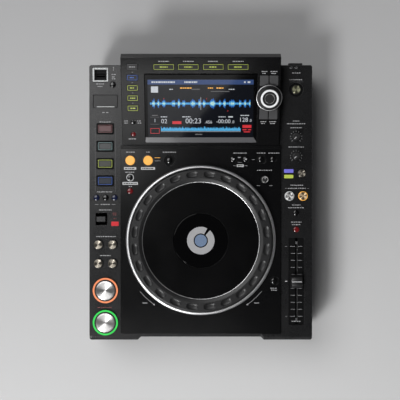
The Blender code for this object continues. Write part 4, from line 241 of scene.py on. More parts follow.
# %% World
CEILING = (0.022, 0.022, 0.023)
HORIZON = (0.34, 0.34, 0.35)
SKY_FADE = (0.08, 0.55)


def make_world():
    world = bpy.data.worlds.new("studio")
    bpy.context.scene.world = world
    world.use_nodes = True
    nodes = world.node_tree.nodes
    links = world.node_tree.links
    background = nodes["Background"]
    place = nodes.new("ShaderNodeTexCoord")
    parts = nodes.new("ShaderNodeSeparateXYZ")
    ramp = nodes.new("ShaderNodeValToRGB")
    for element, height, colour in zip(ramp.color_ramp.elements, SKY_FADE, (HORIZON, CEILING)):
        element.position = height
        element.color = (*colour, 1)
    links.new(place.outputs["Generated"], parts.inputs[0])
    links.new(parts.outputs["Z"], ramp.inputs["Fac"])
    links.new(ramp.outputs["Color"], background.inputs["Color"])
    background.inputs["Strength"].default_value = 1.0


make_world()
print("world from horizon", HORIZON[0], "to ceiling", CEILING[0])


# %% Lamps
def soft_lamp(name, place, target, size, power):
    """A rectangular lamp that faces a point."""
    data = bpy.data.lights.new(name, "AREA")
    data.shape = "RECTANGLE"
    data.size, data.size_y = size
    data.energy = power
    lamp = bpy.data.objects.new(name, data)
    ahead = (Vector(target) - Vector(place)).normalized()
    across = ahead.cross(Vector((0, 1, 0))).normalized()
    along = across.cross(ahead)
    lamp.rotation_euler = Matrix((across, along, -ahead)).transposed().to_euler()
    lamp.location = place
    bpy.context.scene.collection.objects.link(lamp)
    return lamp


LAMPS = (
    ("rear_left_lamp", (-1.12, 1.00, 2.2), (-0.9, 0.80, 0.0), (1.75, 1.75), 33.0),
    ("front_left_lamp", (-0.95, -1.42, 1.9), (-0.1, -0.1, 0.0), (0.65, 0.6), 38.0),
    ("front_low_lamp", (-0.80, -1.75, 0.85), (0.0, -0.1, 0.05), (1.5, 0.6), 10.0),
)
for lamp_facts in LAMPS:
    soft_lamp(*lamp_facts)
print(len(LAMPS), "lamps")

# %% [markdown]
# ## Drawing helpers
# Every piece begins as a circle, a small face or a short profile. Turned pieces are profiles spun
# about a standing axis, with their distance from it kept as a UV so that tool lines can follow it.
# Panels are loops of edges filled with flat faces, with a rolled rim drawn round each opening.
# Large or level faces stay flat, because a flat gloss panel mirrors one place and no smudges, and
# only the small faces of the rims are shaded smooth.


# %% Finish a mesh
FLAT_AREA = 45.0
LEVEL_SHARE = 0.9999
MERGE_MM = 0.0005
UPWARDS = Vector((0.0, 0.0, 1.0))


def settle(name, work, material, body, replaced=(), smooth_deg=32.0, flow=None, top=UPWARDS):
    """Makes an object of a bmesh that was drawn in millimetres and puts it on its body."""
    bmesh.ops.remove_doubles(work, verts=work.verts, dist=MERGE_MM)
    bmesh.ops.recalc_face_normals(work, faces=work.faces)
    soft = [face.calc_area() < FLAT_AREA and face.normal.dot(top) < LEVEL_SHARE for face in work.faces]
    if flow:
        bmesh.ops.transform(work, matrix=flow, verts=work.verts)
    bmesh.ops.scale(work, vec=(MM, MM, MM), verts=work.verts)
    mesh = bpy.data.meshes.new(name)
    work.to_mesh(mesh)
    work.free()
    finishes = material if isinstance(material, (list, tuple)) else [material]
    for part in finishes:
        mesh.materials.append(part)
    mesh.set_sharp_from_angle(angle=math.radians(smooth_deg))
    mesh.polygons.foreach_set("use_smooth", soft)
    piece = bpy.data.objects.new(name, mesh)
    bpy.context.scene.collection.objects.link(piece)
    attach(piece, body)
    if replaced:
        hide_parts(*replaced)
    return piece


# %% Profiles and turning
ROLL_STEPS = 4


def rolled(points, radius):
    """The same open profile with an arc at each inner corner that has room for it."""
    soft = [points[0]]
    for before, corner, after in zip(points, points[1:], points[2:]):
        corner = Vector(corner)
        first = Vector(before) - corner
        second = Vector(after) - corner
        reach = min(radius, first.length * 0.45, second.length * 0.45)
        start = corner + first.normalized() * reach
        end = corner + second.normalized() * reach
        for step in range(ROLL_STEPS + 1):
            share = step / ROLL_STEPS
            soft.append(tuple(start.lerp(corner, share).lerp(corner.lerp(end, share), share)))
    soft.append(points[-1])
    return soft


def turn(work, profile, centre, steps, closed):
    """Spins a profile of radii and heights about a standing axis."""
    dots = [work.verts.new((centre[0] + radius, centre[1], height)) for radius, height in profile]
    lines = [work.edges.new(pair) for pair in zip(dots, dots[1:])]
    if closed:
        lines.append(work.edges.new((dots[-1], dots[0])))
    bmesh.ops.spin(work, geom=dots + lines, cent=(*centre, 0), axis=(0, 0, 1), angle=2 * math.pi,
                   steps=steps, use_merge=True)
    bmesh.ops.remove_doubles(work, verts=work.verts, dist=MERGE_MM)
    rings = work.loops.layers.uv.new("turning")
    for face in work.faces:
        for loop in face.loops:
            across = Vector((loop.vert.co.x - centre[0], loop.vert.co.y - centre[1]))
            loop[rings].uv = (across.length, loop.vert.co.z)
    return work


def turned(name, profile, centre, material, body, replaced=(), steps=64, closed=False, flow=None):
    work = turn(bmesh.new(), profile, centre, steps, closed)
    return settle(name, work, material, body, replaced, flow=flow)


# %% Soft rectangles
def flat_face(work, spots, height, corner, steps, square=()):
    """A flat face on corner points; those at the places in square stay sharp."""
    known = set(work.faces)
    dots = [work.verts.new((*spot, height)) for spot in spots]
    work.faces.new(dots)
    soft = [dot for place, dot in enumerate(dots) if place not in square]
    bmesh.ops.bevel(work, geom=soft, offset=corner, offset_type="OFFSET", segments=steps, profile=0.5,
                    affect="VERTICES", material=-1)
    face = next(item for item in work.faces if item not in known)
    face.normal_update()
    return face


def soft_rectangle(work, centre, size, corner, height, steps=6):
    """A flat face with round corners."""
    signs = ((-0.5, -0.5), (0.5, -0.5), (0.5, 0.5), (-0.5, 0.5))
    spots = [(centre[0] + x * size[0], centre[1] + y * size[1]) for x, y in signs]
    return flat_face(work, spots, height, corner, steps)


def soft_block(work, centre, size, corner, low, levels):
    """A block on a soft rectangle, closed underneath; each level is how far in and how far up."""
    face = soft_rectangle(work, centre, size, corner, low)
    base = work.faces.new([work.verts.new(vertex.co) for vertex in face.verts])
    base.normal_flip()
    for inwards, up in levels:
        bmesh.ops.inset_individual(work, faces=[face], thickness=inwards, depth=up, use_even_offset=True)


def bar(work, centre, size, low, height, turn_deg=0.0):
    """A small upright block from a cube, turned about its middle."""
    matrix = Matrix.Translation((centre[0], centre[1], low + height / 2))
    matrix = matrix @ Matrix.Rotation(math.radians(turn_deg), 4, "Z") @ Matrix.Diagonal((*size, height, 1))
    bmesh.ops.create_cube(work, size=1, matrix=matrix)


def bars(name, material, body, blocks):
    """One mesh of small blocks, each a middle, a size, a low side, a height and sometimes a turn."""
    work = bmesh.new()
    for block in blocks:
        bar(work, *block)
    return settle(name, work, material, body)


# %% Panels with openings
def round_loop(work, centre, radius, height, steps):
    made = bmesh.ops.create_circle(work, cap_ends=False, radius=radius, segments=steps,
                                   matrix=Matrix.Translation((*centre, height)))
    return list({edge for vertex in made["verts"] for edge in vertex.link_edges})


def box_loop(work, centre, size, corner, height):
    face = soft_rectangle(work, centre, size, corner, height, 4)
    edges = list(face.edges)
    bmesh.ops.delete(work, geom=[face], context="FACES_ONLY")
    return edges


def draw_rim(work, edges, centre, size, steps):
    """Draws a loop of edges on: each step goes out from the middle (or in, below zero) and up."""
    length, width = size
    for out, up in steps:
        made = bmesh.ops.extrude_edge_only(work, edges=edges)["geom"]
        dots = [item for item in made if isinstance(item, bmesh.types.BMVert)]
        edges = [item for item in made if isinstance(item, bmesh.types.BMEdge) and item.is_boundary]
        grow = ((length + 2 * out) / length, (width + 2 * out) / width, 1)
        space = Matrix.Translation((-centre[0], -centre[1], 0))
        bmesh.ops.scale(work, vec=grow, space=space, verts=dots)
        bmesh.ops.translate(work, vec=(0, 0, up), verts=dots)
        length, width = length + 2 * out, width + 2 * out
    return edges


HOLE_RIM = ((-0.12, -0.03), (-0.18, -0.15))


def pierced(work, outer_edges, holes, height, depth):
    """Fills a flat outline with level faces, pierced by holes with rolled rims and walls."""
    loops = []
    grow = -sum(out for out, _ in HOLE_RIM)
    for centre, size, corner, steps in holes:
        wide = (size[0] + 2 * grow, size[1] + 2 * grow)
        if corner is None:
            loops.append((round_loop(work, centre, wide[0] / 2, height, steps), centre, wide))
        else:
            loops.append((box_loop(work, centre, wide, corner, height), centre, wide))
    every = outer_edges + [edge for edges, _, _ in loops for edge in edges]
    bmesh.ops.triangle_fill(work, use_beauty=True, use_dissolve=False, edges=every, normal=(0, 0, 1))
    for edges, centre, wide in loops:
        draw_rim(work, edges, centre, wide, (*HOLE_RIM, (0.0, -depth)))


print("drawing helpers ready")

# %% [markdown]
# ## Finishes
# Moulded plastic has a fine grain and patches where hands have polished it. Gloss panels are clean
# but not perfect, so their roughness drifts a little. Turned metal is anisotropic: the tool leaves
# rings, and a lamp is drawn out across them into two bright wedges. Cycles lays the tangent about the
# middle of each piece by itself, and the UV of each turned piece gives the rings their fine lines.

# %% Tints
def tint(colour, share):
    """The same colour, darker or paler by a share."""
    return tuple(part * share for part in colour)


# %% Plastics
PATCH_MM = 38.0
GLOSS_PATCH_MM = 55.0
DUST_MM = 0.9
DUST_LEVEL = 0.68


def moulded(name, colour, rough, grain_mm=0.55, grain_depth=0.035, drift=0.25, spec=0.5):
    """Moulded plastic: a fine grain, and large patches where hands have polished it."""
    shade = Shade(name, specular_ior_level=spec)
    cloud = shade.noise(PATCH_MM, 4.0)
    grain = shade.noise(grain_mm, 2.0)
    share = (cloud * 0.7 + grain * 0.3).clamped()
    shade.colour(shade.blend(share, tint(colour, 1 - drift), tint(colour, 1 + drift)))
    shade.rough(rough + 0.14 * (cloud - 0.5) + 0.10 * (grain - 0.5))
    shade.bump(grain, grain_depth, 0.6)
    return shade.material


def gloss(name, colour, rough, coat=0.0, spec=0.5):
    """Polished plastic or glass: patches that are slightly duller, and a few specks of dust."""
    shade = Shade(name, specular_ior_level=spec, coat_weight=coat, coat_roughness=0.04)
    cloud = shade.noise(GLOSS_PATCH_MM, 4.0)
    speck = (shade.noise(DUST_MM, 2.0) - DUST_LEVEL).clamped() * 1.2
    shade.colour(shade.blend(speck.clamped(), colour, tuple(part + 0.05 for part in colour)))
    shade.rough(rough + 0.10 * (cloud - 0.5) + 0.3 * speck)
    shade.bump(cloud, 0.04, 0.25)
    return shade.material


CASE_PLASTIC = moulded("case_plastic", (0.0080, 0.0080, 0.0086), 0.28)
DECK_PLASTIC = gloss("deck_gloss", (0.0030, 0.0030, 0.0033), 0.19, spec=0.42)
HOOD_PLASTIC = gloss("hood_gloss", (0.0048, 0.0048, 0.0051), 0.13)
SCREEN_GLASS = gloss("screen_glass", (0.0020, 0.0020, 0.0022), 0.07, 0.0, 0.2)
# Paler glass for the block's front slope: painted sheen, which the low lamp's reflection adds to.
LIP_GLASS_PAINTED_SHEEN = gloss("lip_glass_painted_sheen", (0.10, 0.10, 0.105), 0.20, 0.3)
GRIP_RUBBER = moulded("grip_rubber", (0.0105, 0.0105, 0.0110), 0.38, 0.30, 0.02, 0.18)
KEY_PLASTIC = moulded("key_plastic", (0.012, 0.012, 0.0125), 0.34, 0.25, 0.012)
# Paler plastic: the navigation keys' own colour, and on the lever's ribs a painted highlight on their crests.
NAV_KEY_AND_RIB_SHEEN_PLASTIC = moulded("nav_plastic", (0.050, 0.050, 0.052), 0.42, 0.30, 0.02)
DARK_PLASTIC = moulded("socket_plastic", (0.0030, 0.0030, 0.0033), 0.45, 0.35, 0.02, spec=0.12)
KEY_GLOSS = gloss("key_gloss", (0.0030, 0.0030, 0.0033), 0.14, 0.4)
PLATE_SATIN = moulded("plate_satin", (0.0022, 0.0022, 0.0024), 0.22, 0.22, 0.006, 0.2, 0.2)
FOOT_RUBBER = moulded("foot_rubber", (0.016, 0.016, 0.016), 0.75, 0.8, 0.05)
print("plastics ready")


# %% Metals
RINGS_PER_MM = 2.2
RING_DRIFT = 0.16


def turned_metal(name, colour, rough):
    """Metal off a lathe: its shine is drawn out along the rings that the tool leaves."""
    shade = Shade(name, metallic=1.0, anisotropic=0.93, anisotropic_rotation=0.25)
    mapped = shade.flow("UV", "ShaderNodeUVMap", settings={"uv_map": "turning"})
    radius = shade.flow("X", "ShaderNodeSeparateXYZ", {"Vector": mapped})
    values = {"W": radius * RINGS_PER_MM, "Scale": 1.0, "Detail": 3.0}
    ring = shade.flow("Fac", "ShaderNodeTexNoise", values, {"noise_dimensions": "1D"})
    shade.colour(shade.blend(ring, tint(colour, 1 - RING_DRIFT), tint(colour, 1 + RING_DRIFT)))
    shade.rough(rough + 0.22 * (ring - 0.5))
    return shade.material


def plain_metal(name, colour, rough, grain_mm):
    """Sheet or pressed metal: faint streaks along x."""
    shade = Shade(name, metallic=1.0)
    streak = shade.noise(grain_mm, 3.0, shade.place((0.15, 1, 1)))
    shade.colour(shade.blend(streak, tint(colour, 0.86), colour))
    shade.rough(rough + 0.16 * (streak - 0.5))
    return shade.material


KEY_METAL = turned_metal("turned_metal", (0.72, 0.71, 0.70), 0.38)
SMALL_METAL = turned_metal("small_metal", (0.34, 0.31, 0.26), 0.34)
OLIVE_METAL = turned_metal("olive_metal", (0.30, 0.30, 0.20), 0.36)
WARM_METAL = turned_metal("warm_metal", (0.80, 0.58, 0.36), 0.36)
DARK_METAL = turned_metal("dark_metal", (0.50, 0.50, 0.50), 0.36)
TRIM_METAL = plain_metal("trim_metal", (0.86, 0.86, 0.87), 0.42, 4.0)
BRIGHT_METAL = plain_metal("socket_metal", (0.66, 0.65, 0.62), 0.28, 1.2)
SHEET_METAL = plain_metal("sheet_metal", (0.50, 0.50, 0.51), 0.36, 2.0)
print("metals ready")


# %% Paint, ink and light
def coated(name, colour, rough):
    """Powder coat on sheet steel: fine pebbles and a slow drift of colour."""
    shade = Shade(name, metallic=0.3)
    pebble = shade.noise(0.7, 2.0)
    shade.colour(shade.blend(shade.noise(50.0), tint(colour, 0.8), tint(colour, 1.2)))
    shade.rough(rough + 0.2 * (pebble - 0.5))
    shade.bump(pebble, 0.04, 0.5)
    return shade.material


def ink(name, colour):
    """Print: slightly uneven, as thin ink is."""
    shade = Shade(name, roughness=0.45)
    shade.colour(shade.blend(shade.noise(0.6, 2.0), tint(colour, 0.78), colour))
    return shade.material


def lit(name, colour, glow, rough=0.3):
    """A translucent lens with a lamp behind it: brighter in patches near the lamp."""
    shade = Shade(name, roughness=rough, emission_strength=glow, coat_weight=0.3, coat_roughness=0.1)
    patch = shade.noise(6.0, 2.0)
    shade.colour(shade.blend(patch, tint(colour, 0.55), tint(colour, 0.75)))
    shade.glow(shade.blend(patch, tint(colour, 0.82), colour))
    return shade.material


def screen_light(name, colour):
    """A lit patch of the screen under the same gloss as the glass."""
    shade = Shade(name, roughness=0.5, specular_ior_level=0.0, emission_strength=1.0, coat_weight=0.7,
                  coat_roughness=0.05)
    dots = shade.noise(1.6, 1.0)
    shade.colour(shade.blend(dots, tint(colour, 0.1), tint(colour, 0.2)))
    shade.glow(shade.blend(dots, tint(colour, 0.7), colour))
    return shade.material


SHEET_PAINT = coated("sheet_paint", (0.020, 0.020, 0.021), 0.5)
SCREEN_BLUE = screen_light("screen_blue", (0.03, 0.16, 0.55))
SCREEN_HAZE = screen_light("screen_haze", (0.16, 0.22, 0.33))
SCREEN_BACK = screen_light("screen_back", (0.006, 0.007, 0.010))
SCREEN_CYAN = screen_light("screen_cyan", (0.10, 0.45, 0.80))
SCREEN_PALE = screen_light("screen_pale", (0.55, 0.85, 0.80))
SCREEN_WHITE = screen_light("screen_white", (0.55, 0.58, 0.62))
SCREEN_HEADER = screen_light("screen_header", (0.035, 0.065, 0.17))
PALE_INK = ink("pale_ink", (0.40, 0.40, 0.41))
DIM_INK = ink("dim_ink", (0.11, 0.11, 0.115))
WHITE_INK = ink("white_ink", (0.60, 0.60, 0.61))
RED_INK = ink("red_ink", (0.16, 0.03, 0.03))
ORANGE_LIGHT = lit("orange_light", (0.78, 0.25, 0.11), 0.64)
GREEN_LIGHT = lit("green_light", (0.03, 0.55, 0.08), 0.70)
AMBER_LIGHT = lit("amber_light", (0.84, 0.40, 0.07), 0.72)
KEY_RED = lit("key_red", (0.13, 0.008, 0.010), 0.4, 0.14)
KEY_BLUE = lit("key_blue", (0.006, 0.009, 0.034), 0.4, 0.14)
# The selector's ring glows though no lamp is behind it: painted highlight for the shine of chrome.
SELECTOR_RING_PAINTED_SHINE = lit("selector_ring_painted_shine", (0.86, 0.87, 0.88), 0.40)
PAD_TINTS = [lit("pad_tint_%d" % number, colour, 0.6) for number, colour in enumerate((
    (0.050, 0.005, 0.007), (0.007, 0.010, 0.012), (0.010, 0.012, 0.004), (0.004, 0.009, 0.020)))]
RED_LIGHT = lit("red_light", (0.50, 0.018, 0.026), 0.62)
LIME_LIGHT = lit("lime_light", (0.42, 0.50, 0.08), 0.62)
BLUE_LIGHT = lit("blue_light", (0.05, 0.12, 0.42), 0.60)
VIOLET_LIGHT = lit("violet_light", (0.16, 0.15, 0.60), 0.65)
TEAL_LIGHT = lit("teal_light", (0.16, 0.25, 0.25), 0.6)
WHITE_LIGHT = lit("white_light", (0.62, 0.64, 0.64), 0.36)
print("paint, ink and lights ready")

# %% [markdown]
# ## Housing
# The housing is injection moulded in one piece: two raised columns, a set-back middle front, rims
# round each opening that are slightly rolled because a mould can't make a knife edge. Its flat top
# is one filled outline; the outside is that outline drawn down over a small lip and a long chamfer.

# %% Case shell
CASE_TOP = 80.0
CASE_LOW = 28.0
CASE_WALL = 2.5
KEY_GAP = 0.3
KNOB_HOLE = 6.4
BIG_KEY = 36.4
SMALL_KEY = 8.0
PAD_SIZE = (22.2, 13.0)
USB_SIZE = (22.2, 20.0)
CARD_SIZE = (34.4, 17.8)
CASE_OUTLINE = ((-159.15, -198.0), (-90.4, -198.0), (-86.0, -193.6), (86.0, -193.6), (90.4, -198.0),
                (159.15, -198.0), (159.15, 190.8), (-159.15, 190.8))
# How the outline falls: the front goes out and down, then the sides and the rear go out and down.
CASE_FALL = ((0.5, 0.08, 0.15, 0.04), (0.5, 0.30, 0.35, 0.26), (3.8, 3.02, 0.30, 0.50))
PADS = ((-137.0, 100.1), (-137.0, 75.0), (-137.0, 50.1), (-137.0, 25.4))
CUE = (-136.6, -131.6)
PLAY = (-136.6, -177.6)
TRACK = ((-146.8, -66.0), (-126.6, -66.0))
SEARCH = ((-146.8, -92.9), (-126.6, -92.9))
BANK = ((-149.4, 1.3), (-136.3, 1.3), (-123.4, 1.3))
LEVER = (-142.5, -29.2)
USB = (-143.95, 177.56)
USB_STOP = (-126.0, 163.5)
CARD = (-136.8, 139.66)
EJECT = (136.9, 156.3)
SMALL_KNOBS = {"touch_brake_knob": (136.7, 88.4), "release_start_knob": (136.7, 60.8)}
MODE = (144.9, 36.2)
SYNC = (127.0, 3.7)
MASTER = (146.5, 3.7)
TEMPO_KEYS = ((137.0, -20.4), (137.0, -44.3))
FADER = (137.1, -118.7)


def round_hole(centre, diameter, gap=KEY_GAP, steps=48):
    return (centre, (diameter + 2 * gap, diameter + 2 * gap), None, steps)


def square_hole(centre, size, corner, gap=KEY_GAP):
    return (centre, (size[0] + 2 * gap, size[1] + 2 * gap), corner, 4)


CASE_HOLES = [round_hole(CUE, BIG_KEY, steps=96), round_hole(PLAY, BIG_KEY, steps=96),
              round_hole(EJECT, 20.2, 0.0, 72), round_hole(MODE, 12.4), round_hole(SYNC, 13.4),
              round_hole(MASTER, 13.4), square_hole(LEVER, (16.3, 17.3), 1.0, 0.0),
              square_hole(USB, USB_SIZE, 1.5), square_hole(CARD, CARD_SIZE, 1.2, 0.4),
              square_hole(FADER, (22.0, 125.0), 1.5, 0.0),
              square_hole((0.0, -61.0), (223.5, 259.0), 2.0, 0.0),
              square_hole((0.0, 132.8), (207.6, 96.5), 2.0, 0.0)]
CASE_HOLES += [square_hole(place, PAD_SIZE, 1.2) for place in PADS]
CASE_HOLES += [round_hole(place, 14.0) for place in (*TRACK, *SEARCH)]
CASE_HOLES += [round_hole(place, SMALL_KEY) for place in (USB_STOP, *BANK, *TEMPO_KEYS)]
CASE_HOLES += [round_hole(place, KNOB_HOLE, 0.0) for place in SMALL_KNOBS.values()]


def step_down(work, edges, move):
    """Draws a loop of edges on, each new corner by the way that move gives for it."""
    made = bmesh.ops.extrude_edge_only(work, edges=edges)["geom"]
    for dot in made:
        if isinstance(dot, bmesh.types.BMVert):
            dot.co += Vector(move(dot.co))
    return [item for item in made if isinstance(item, bmesh.types.BMEdge) and item.is_boundary]


# %% Walls of the case
SIDE_FROM = 155.0
FRONT_FROM = -190.0
BACK_FROM = 187.0
STEP_X = 90.5
FRONT_WALL = -198.4
REAR_WALL = 191.6
WALL_RISE = 44.0
WINDOW_DEPTH = 3.0
SLOT_WINDOW = ((0.0, 50.0), (142.0, 13.0), 3.0)
REAR_WINDOWS = (((0.0, 53.5), (240.0, 29.0), 2.0), ((136.35, 71.0), (20.9, 8.4), 1.2))


def fall_way(spot, front_out, front_down, side_out, side_down):
    """The way of a corner of the outline, down and out, at the front or elsewhere."""
    out_x = math.copysign(side_out, spot.x) if abs(spot.x) > SIDE_FROM else 0.0
    if spot.y < FRONT_FROM:
        return (out_x, -front_out, -front_down)
    return (out_x, side_out if spot.y > BACK_FROM else 0.0, -side_down)


def wall_way(spot):
    """From the outer foot of a wall to its inner one; the steps in the front only move back."""
    in_x = -math.copysign(CASE_WALL, spot.x) if abs(spot.x) > STEP_X else 0.0
    return (in_x, -math.copysign(CASE_WALL, spot.y), 0.0)


def window_in_wall(work, wall_y, windows, inwards):
    """Opens rectangular windows in an upright wall that faces along y, with walls behind them."""
    walls = [face for face in work.faces if all(abs(dot.co.y - wall_y) < 0.01 for dot in face.verts)]
    wall = max(walls, key=lambda face: face.calc_area())
    rim = list(wall.edges)
    bmesh.ops.delete(work, geom=[wall], context="FACES_ONLY")
    loops = []
    for (x, z), size, corner in windows:
        loop = box_loop(work, (0, 0), size, corner, 0.0)
        dots = list({dot for edge in loop for dot in edge.verts})
        bmesh.ops.rotate(work, cent=(0, 0, 0), matrix=Matrix.Rotation(math.pi / 2, 3, "X"), verts=dots)
        bmesh.ops.translate(work, vec=(x, wall_y, z), verts=dots)
        loops.append(loop)
    every = rim + [edge for loop in loops for edge in loop]
    bmesh.ops.triangle_fill(work, use_beauty=True, use_dissolve=False, edges=every)
    for loop in loops:
        step_down(work, loop, lambda spot: (0.0, inwards, 0.0))


# %% Draw the case
def make_case():
    work = bmesh.new()
    top = flat_face(work, CASE_OUTLINE, CASE_TOP, 3.2, 8, (1, 2, 3, 4))
    outer = list(top.edges)
    bmesh.ops.delete(work, geom=[top], context="FACES_ONLY")
    pierced(work, outer, CASE_HOLES, CASE_TOP, 3.0)
    for fall in CASE_FALL:
        outer = step_down(work, outer, lambda spot: fall_way(spot, *fall))
    outer = step_down(work, outer, lambda spot: (0.0, 0.0, CASE_LOW - spot.z))
    outer = step_down(work, outer, wall_way)
    step_down(work, outer, lambda spot: (0.0, 0.0, WALL_RISE))
    window_in_wall(work, FRONT_WALL, (SLOT_WINDOW,), WINDOW_DEPTH)
    window_in_wall(work, REAR_WALL, REAR_WINDOWS, -WINDOW_DEPTH)
    return settle("case_shell", work, CASE_PLASTIC, HOUSING, ("upper_case",), 20.0)


case_shell = make_case()
print("case shell faces", len(case_shell.data.polygons))

# %% [markdown]
# ## Deck
# The deck is a thin gloss panel that is screwed on over the jog wheel's dish. Its edges have a small
# bevel that catches the lamp at the left, and its rear rises in a ramp to meet the hood.

# %% Deck panel
DECK_TOP = 82.5
JOG = (0.0, -59.5)
JOG_HOLE = 208.4
LOOP_KEY = 13.4
LOOP_IN = (-100.9, 54.6)
LOOP_OUT = (-75.4, 54.6)
RELOOP = (-44.7, 54.6)
BEAT = (-101.1, 30.1)
SLIP = (-101.1, 10.9)
CALLS = ((46.7, 56.3), (64.6, 56.3), (86.4, 56.3), (103.9, 56.3))
JOG_ADJUST = (91.3, 27.0)
TEMPO_RESET = (104.9, -117.8)
DECK_SIZE = (228.5, 264.6)
DECK_MIDDLE = (0.0, -60.9)
RAMP_MIDDLE = (0.0, 73.75, 82.5)
RAMP_SIZE = (229.5, 4.5, 4.4)


def make_deck():
    work = bmesh.new()
    outer = list(soft_rectangle(work, DECK_MIDDLE, DECK_SIZE, 0.8, DECK_TOP, 4).edges)
    bmesh.ops.delete(work, geom=list(work.faces), context="FACES_ONLY")
    holes = [round_hole(JOG, JOG_HOLE, 0.0, 192), round_hole(LOOP_IN, LOOP_KEY),
             round_hole(LOOP_OUT, LOOP_KEY), round_hole(RELOOP, 14.8, 0.0),
             round_hole(TEMPO_RESET, 13.2, 0.0),
             round_hole(CALLS[2], 14.0, 0.0), round_hole(JOG_ADJUST, KNOB_HOLE, 0.0)]
    holes += [round_hole(place, SMALL_KEY) for place in (BEAT, SLIP, CALLS[0], CALLS[1], CALLS[3])]
    pierced(work, outer, holes, DECK_TOP, 2.0)
    draw_rim(work, outer, DECK_MIDDLE, DECK_SIZE, ((0.25, -0.08), (0.25, -0.42), (0.0, -1.6)))
    ramp = Matrix.Translation(RAMP_MIDDLE) @ Matrix.Diagonal((*RAMP_SIZE, 1))
    made = bmesh.ops.create_cube(work, size=1, matrix=ramp)["verts"]
    for dot in made:
        if dot.co.y < 73 and dot.co.z > 83:
            dot.co.z = DECK_TOP
    return settle("deck_shell", work, DECK_PLASTIC, HOUSING, ("deck_panel",), 20.0)


deck_shell = make_deck()
print("deck faces", len(deck_shell.data.polygons))

# %% Collars and sunk rings
COLLAR = [(7.0, 82.0), (7.0, 83.2), (7.2, 83.3), (8.5, 83.3), (8.8, 83.0), (8.8, 82.0)]
for number, place in enumerate((LOOP_IN, LOOP_OUT)):
    turned("loop_collar_%d" % number, rolled(COLLAR, 0.2), place, KEY_PLASTIC, HOUSING, steps=48,
           closed=True)
for number, (place, outer) in enumerate(((RELOOP, 7.4), (CALLS[2], 7.0), (TEMPO_RESET, 6.6))):
    floor_ring = [(4.3, 81.9), (outer + 0.4, 81.9), (outer + 0.4, 81.2), (4.3, 81.2)]
    turned("sunk_ring_%d" % number, floor_ring, place, DARK_PLASTIC, HOUSING, steps=48, closed=True)
print("collars and rings ready")

# %% [markdown]
# ## Hood
# The hood tilts the screen towards the user. It is drawn flat, in its own slope, then laid over at
# the angle of the real one and drawn down to the deck, with the prow that overhangs the rear.

# %% Hood shell
HOOD_TILT_DEG = 15.02
HOOD_HALF = 111.8
HOOD_SLOPE = 124.245
HOOD_LAY = Matrix.Translation((0, 76.5, 86.1)) @ Matrix.Rotation(math.radians(HOOD_TILT_DEG), 4, "X")
GLASS_MIDDLE = (0.25, 52.2)
GLASS_SIZE = (158.1, 97.2)
SELECTOR = (95.9, 67.9)
SOURCE = [(-95.7, v) for v in (110.6, 95.8, 81.4, 67.1, 52.8)]
HOOD_ROUND = ((-95.7, 32.8), (-95.7, 15.5))
BROWSE = [(x, 110.5) for x in (-51.6, -17.4, 17.4, 51.9)]
NAV = ((88.8, 91.4), (102.2, 91.4), (88.8, 44.3), (102.2, 44.3))
SOURCE_SIZE = (14.8, 7.6)
BROWSE_SIZE = (28.6, 7.8)
NAV_SIZE = (12.0, 14.6)
REAR_FROM = 194.0
PROW_REAR = 202.4
PROW_EDGE = 109.8
PROW_FOOT = 189.0
HOOD_FOOT = 80.4


def prow_way(spot):
    """The rear edge leans out to the prow; the other edges go straight down a little."""
    if spot.y > REAR_FROM:
        return (0, PROW_REAR - spot.y, PROW_EDGE - spot.z)
    return (0, 0, -0.8)


def foot_way(spot):
    """Down to the deck, and at the rear back in under the prow."""
    return (0, PROW_FOOT - spot.y if spot.y > REAR_FROM else 0, HOOD_FOOT - spot.z)


def make_hood():
    work = bmesh.new()
    size = (2 * HOOD_HALF - 1.2, HOOD_SLOPE - 1.2)
    middle = (0.0, HOOD_SLOPE / 2)
    outer = list(soft_rectangle(work, middle, size, 0.8, 0.0, 3).edges)
    bmesh.ops.delete(work, geom=list(work.faces), context="FACES_ONLY")
    holes = [square_hole(GLASS_MIDDLE, GLASS_SIZE, 1.5), round_hole(SELECTOR, KNOB_HOLE, 0.0)]
    for places, key_size in ((SOURCE, SOURCE_SIZE), (BROWSE, BROWSE_SIZE), (NAV, NAV_SIZE)):
        holes += [square_hole(place, key_size, 1.2) for place in places]
    holes += [round_hole(place, 6.2) for place in HOOD_ROUND]
    pierced(work, outer, holes, 0.0, 1.6)
    outer = draw_rim(work, outer, middle, size, ((0.4, -0.15), (0.2, -0.45)))
    bmesh.ops.transform(work, matrix=HOOD_LAY, verts=work.verts)
    outer = step_down(work, outer, prow_way)
    step_down(work, outer, foot_way)
    slope = HOOD_LAY.to_3x3() @ UPWARDS
    return settle("hood_shell", work, HOOD_PLASTIC, HOUSING, ("display_hood",), 20.0, top=slope)


hood_shell = make_hood()
print("hood faces", len(hood_shell.data.polygons))

# %% [markdown]
# ## Screen glass
# The screen sits under a thick block of black glass. Its front face is a long slope that catches the low
# lamp, and its right face is a short one, so the block is drawn up straight and its upper rim is
# then pulled back at those two sides. The front slope also has a paler copy of the glass's colour:
# painted sheen, on top of the real reflection of the low lamp.

# %% Screen glass
GLASS_TOP = 3.2
GLASS_LEVELS = ((0.0, 1.1), (0.05, 0.10), (0.5, 2.45), (0.15, 0.15))
FRONT_SLOPE = 7.4
SIDE_SLOPE = 4.2


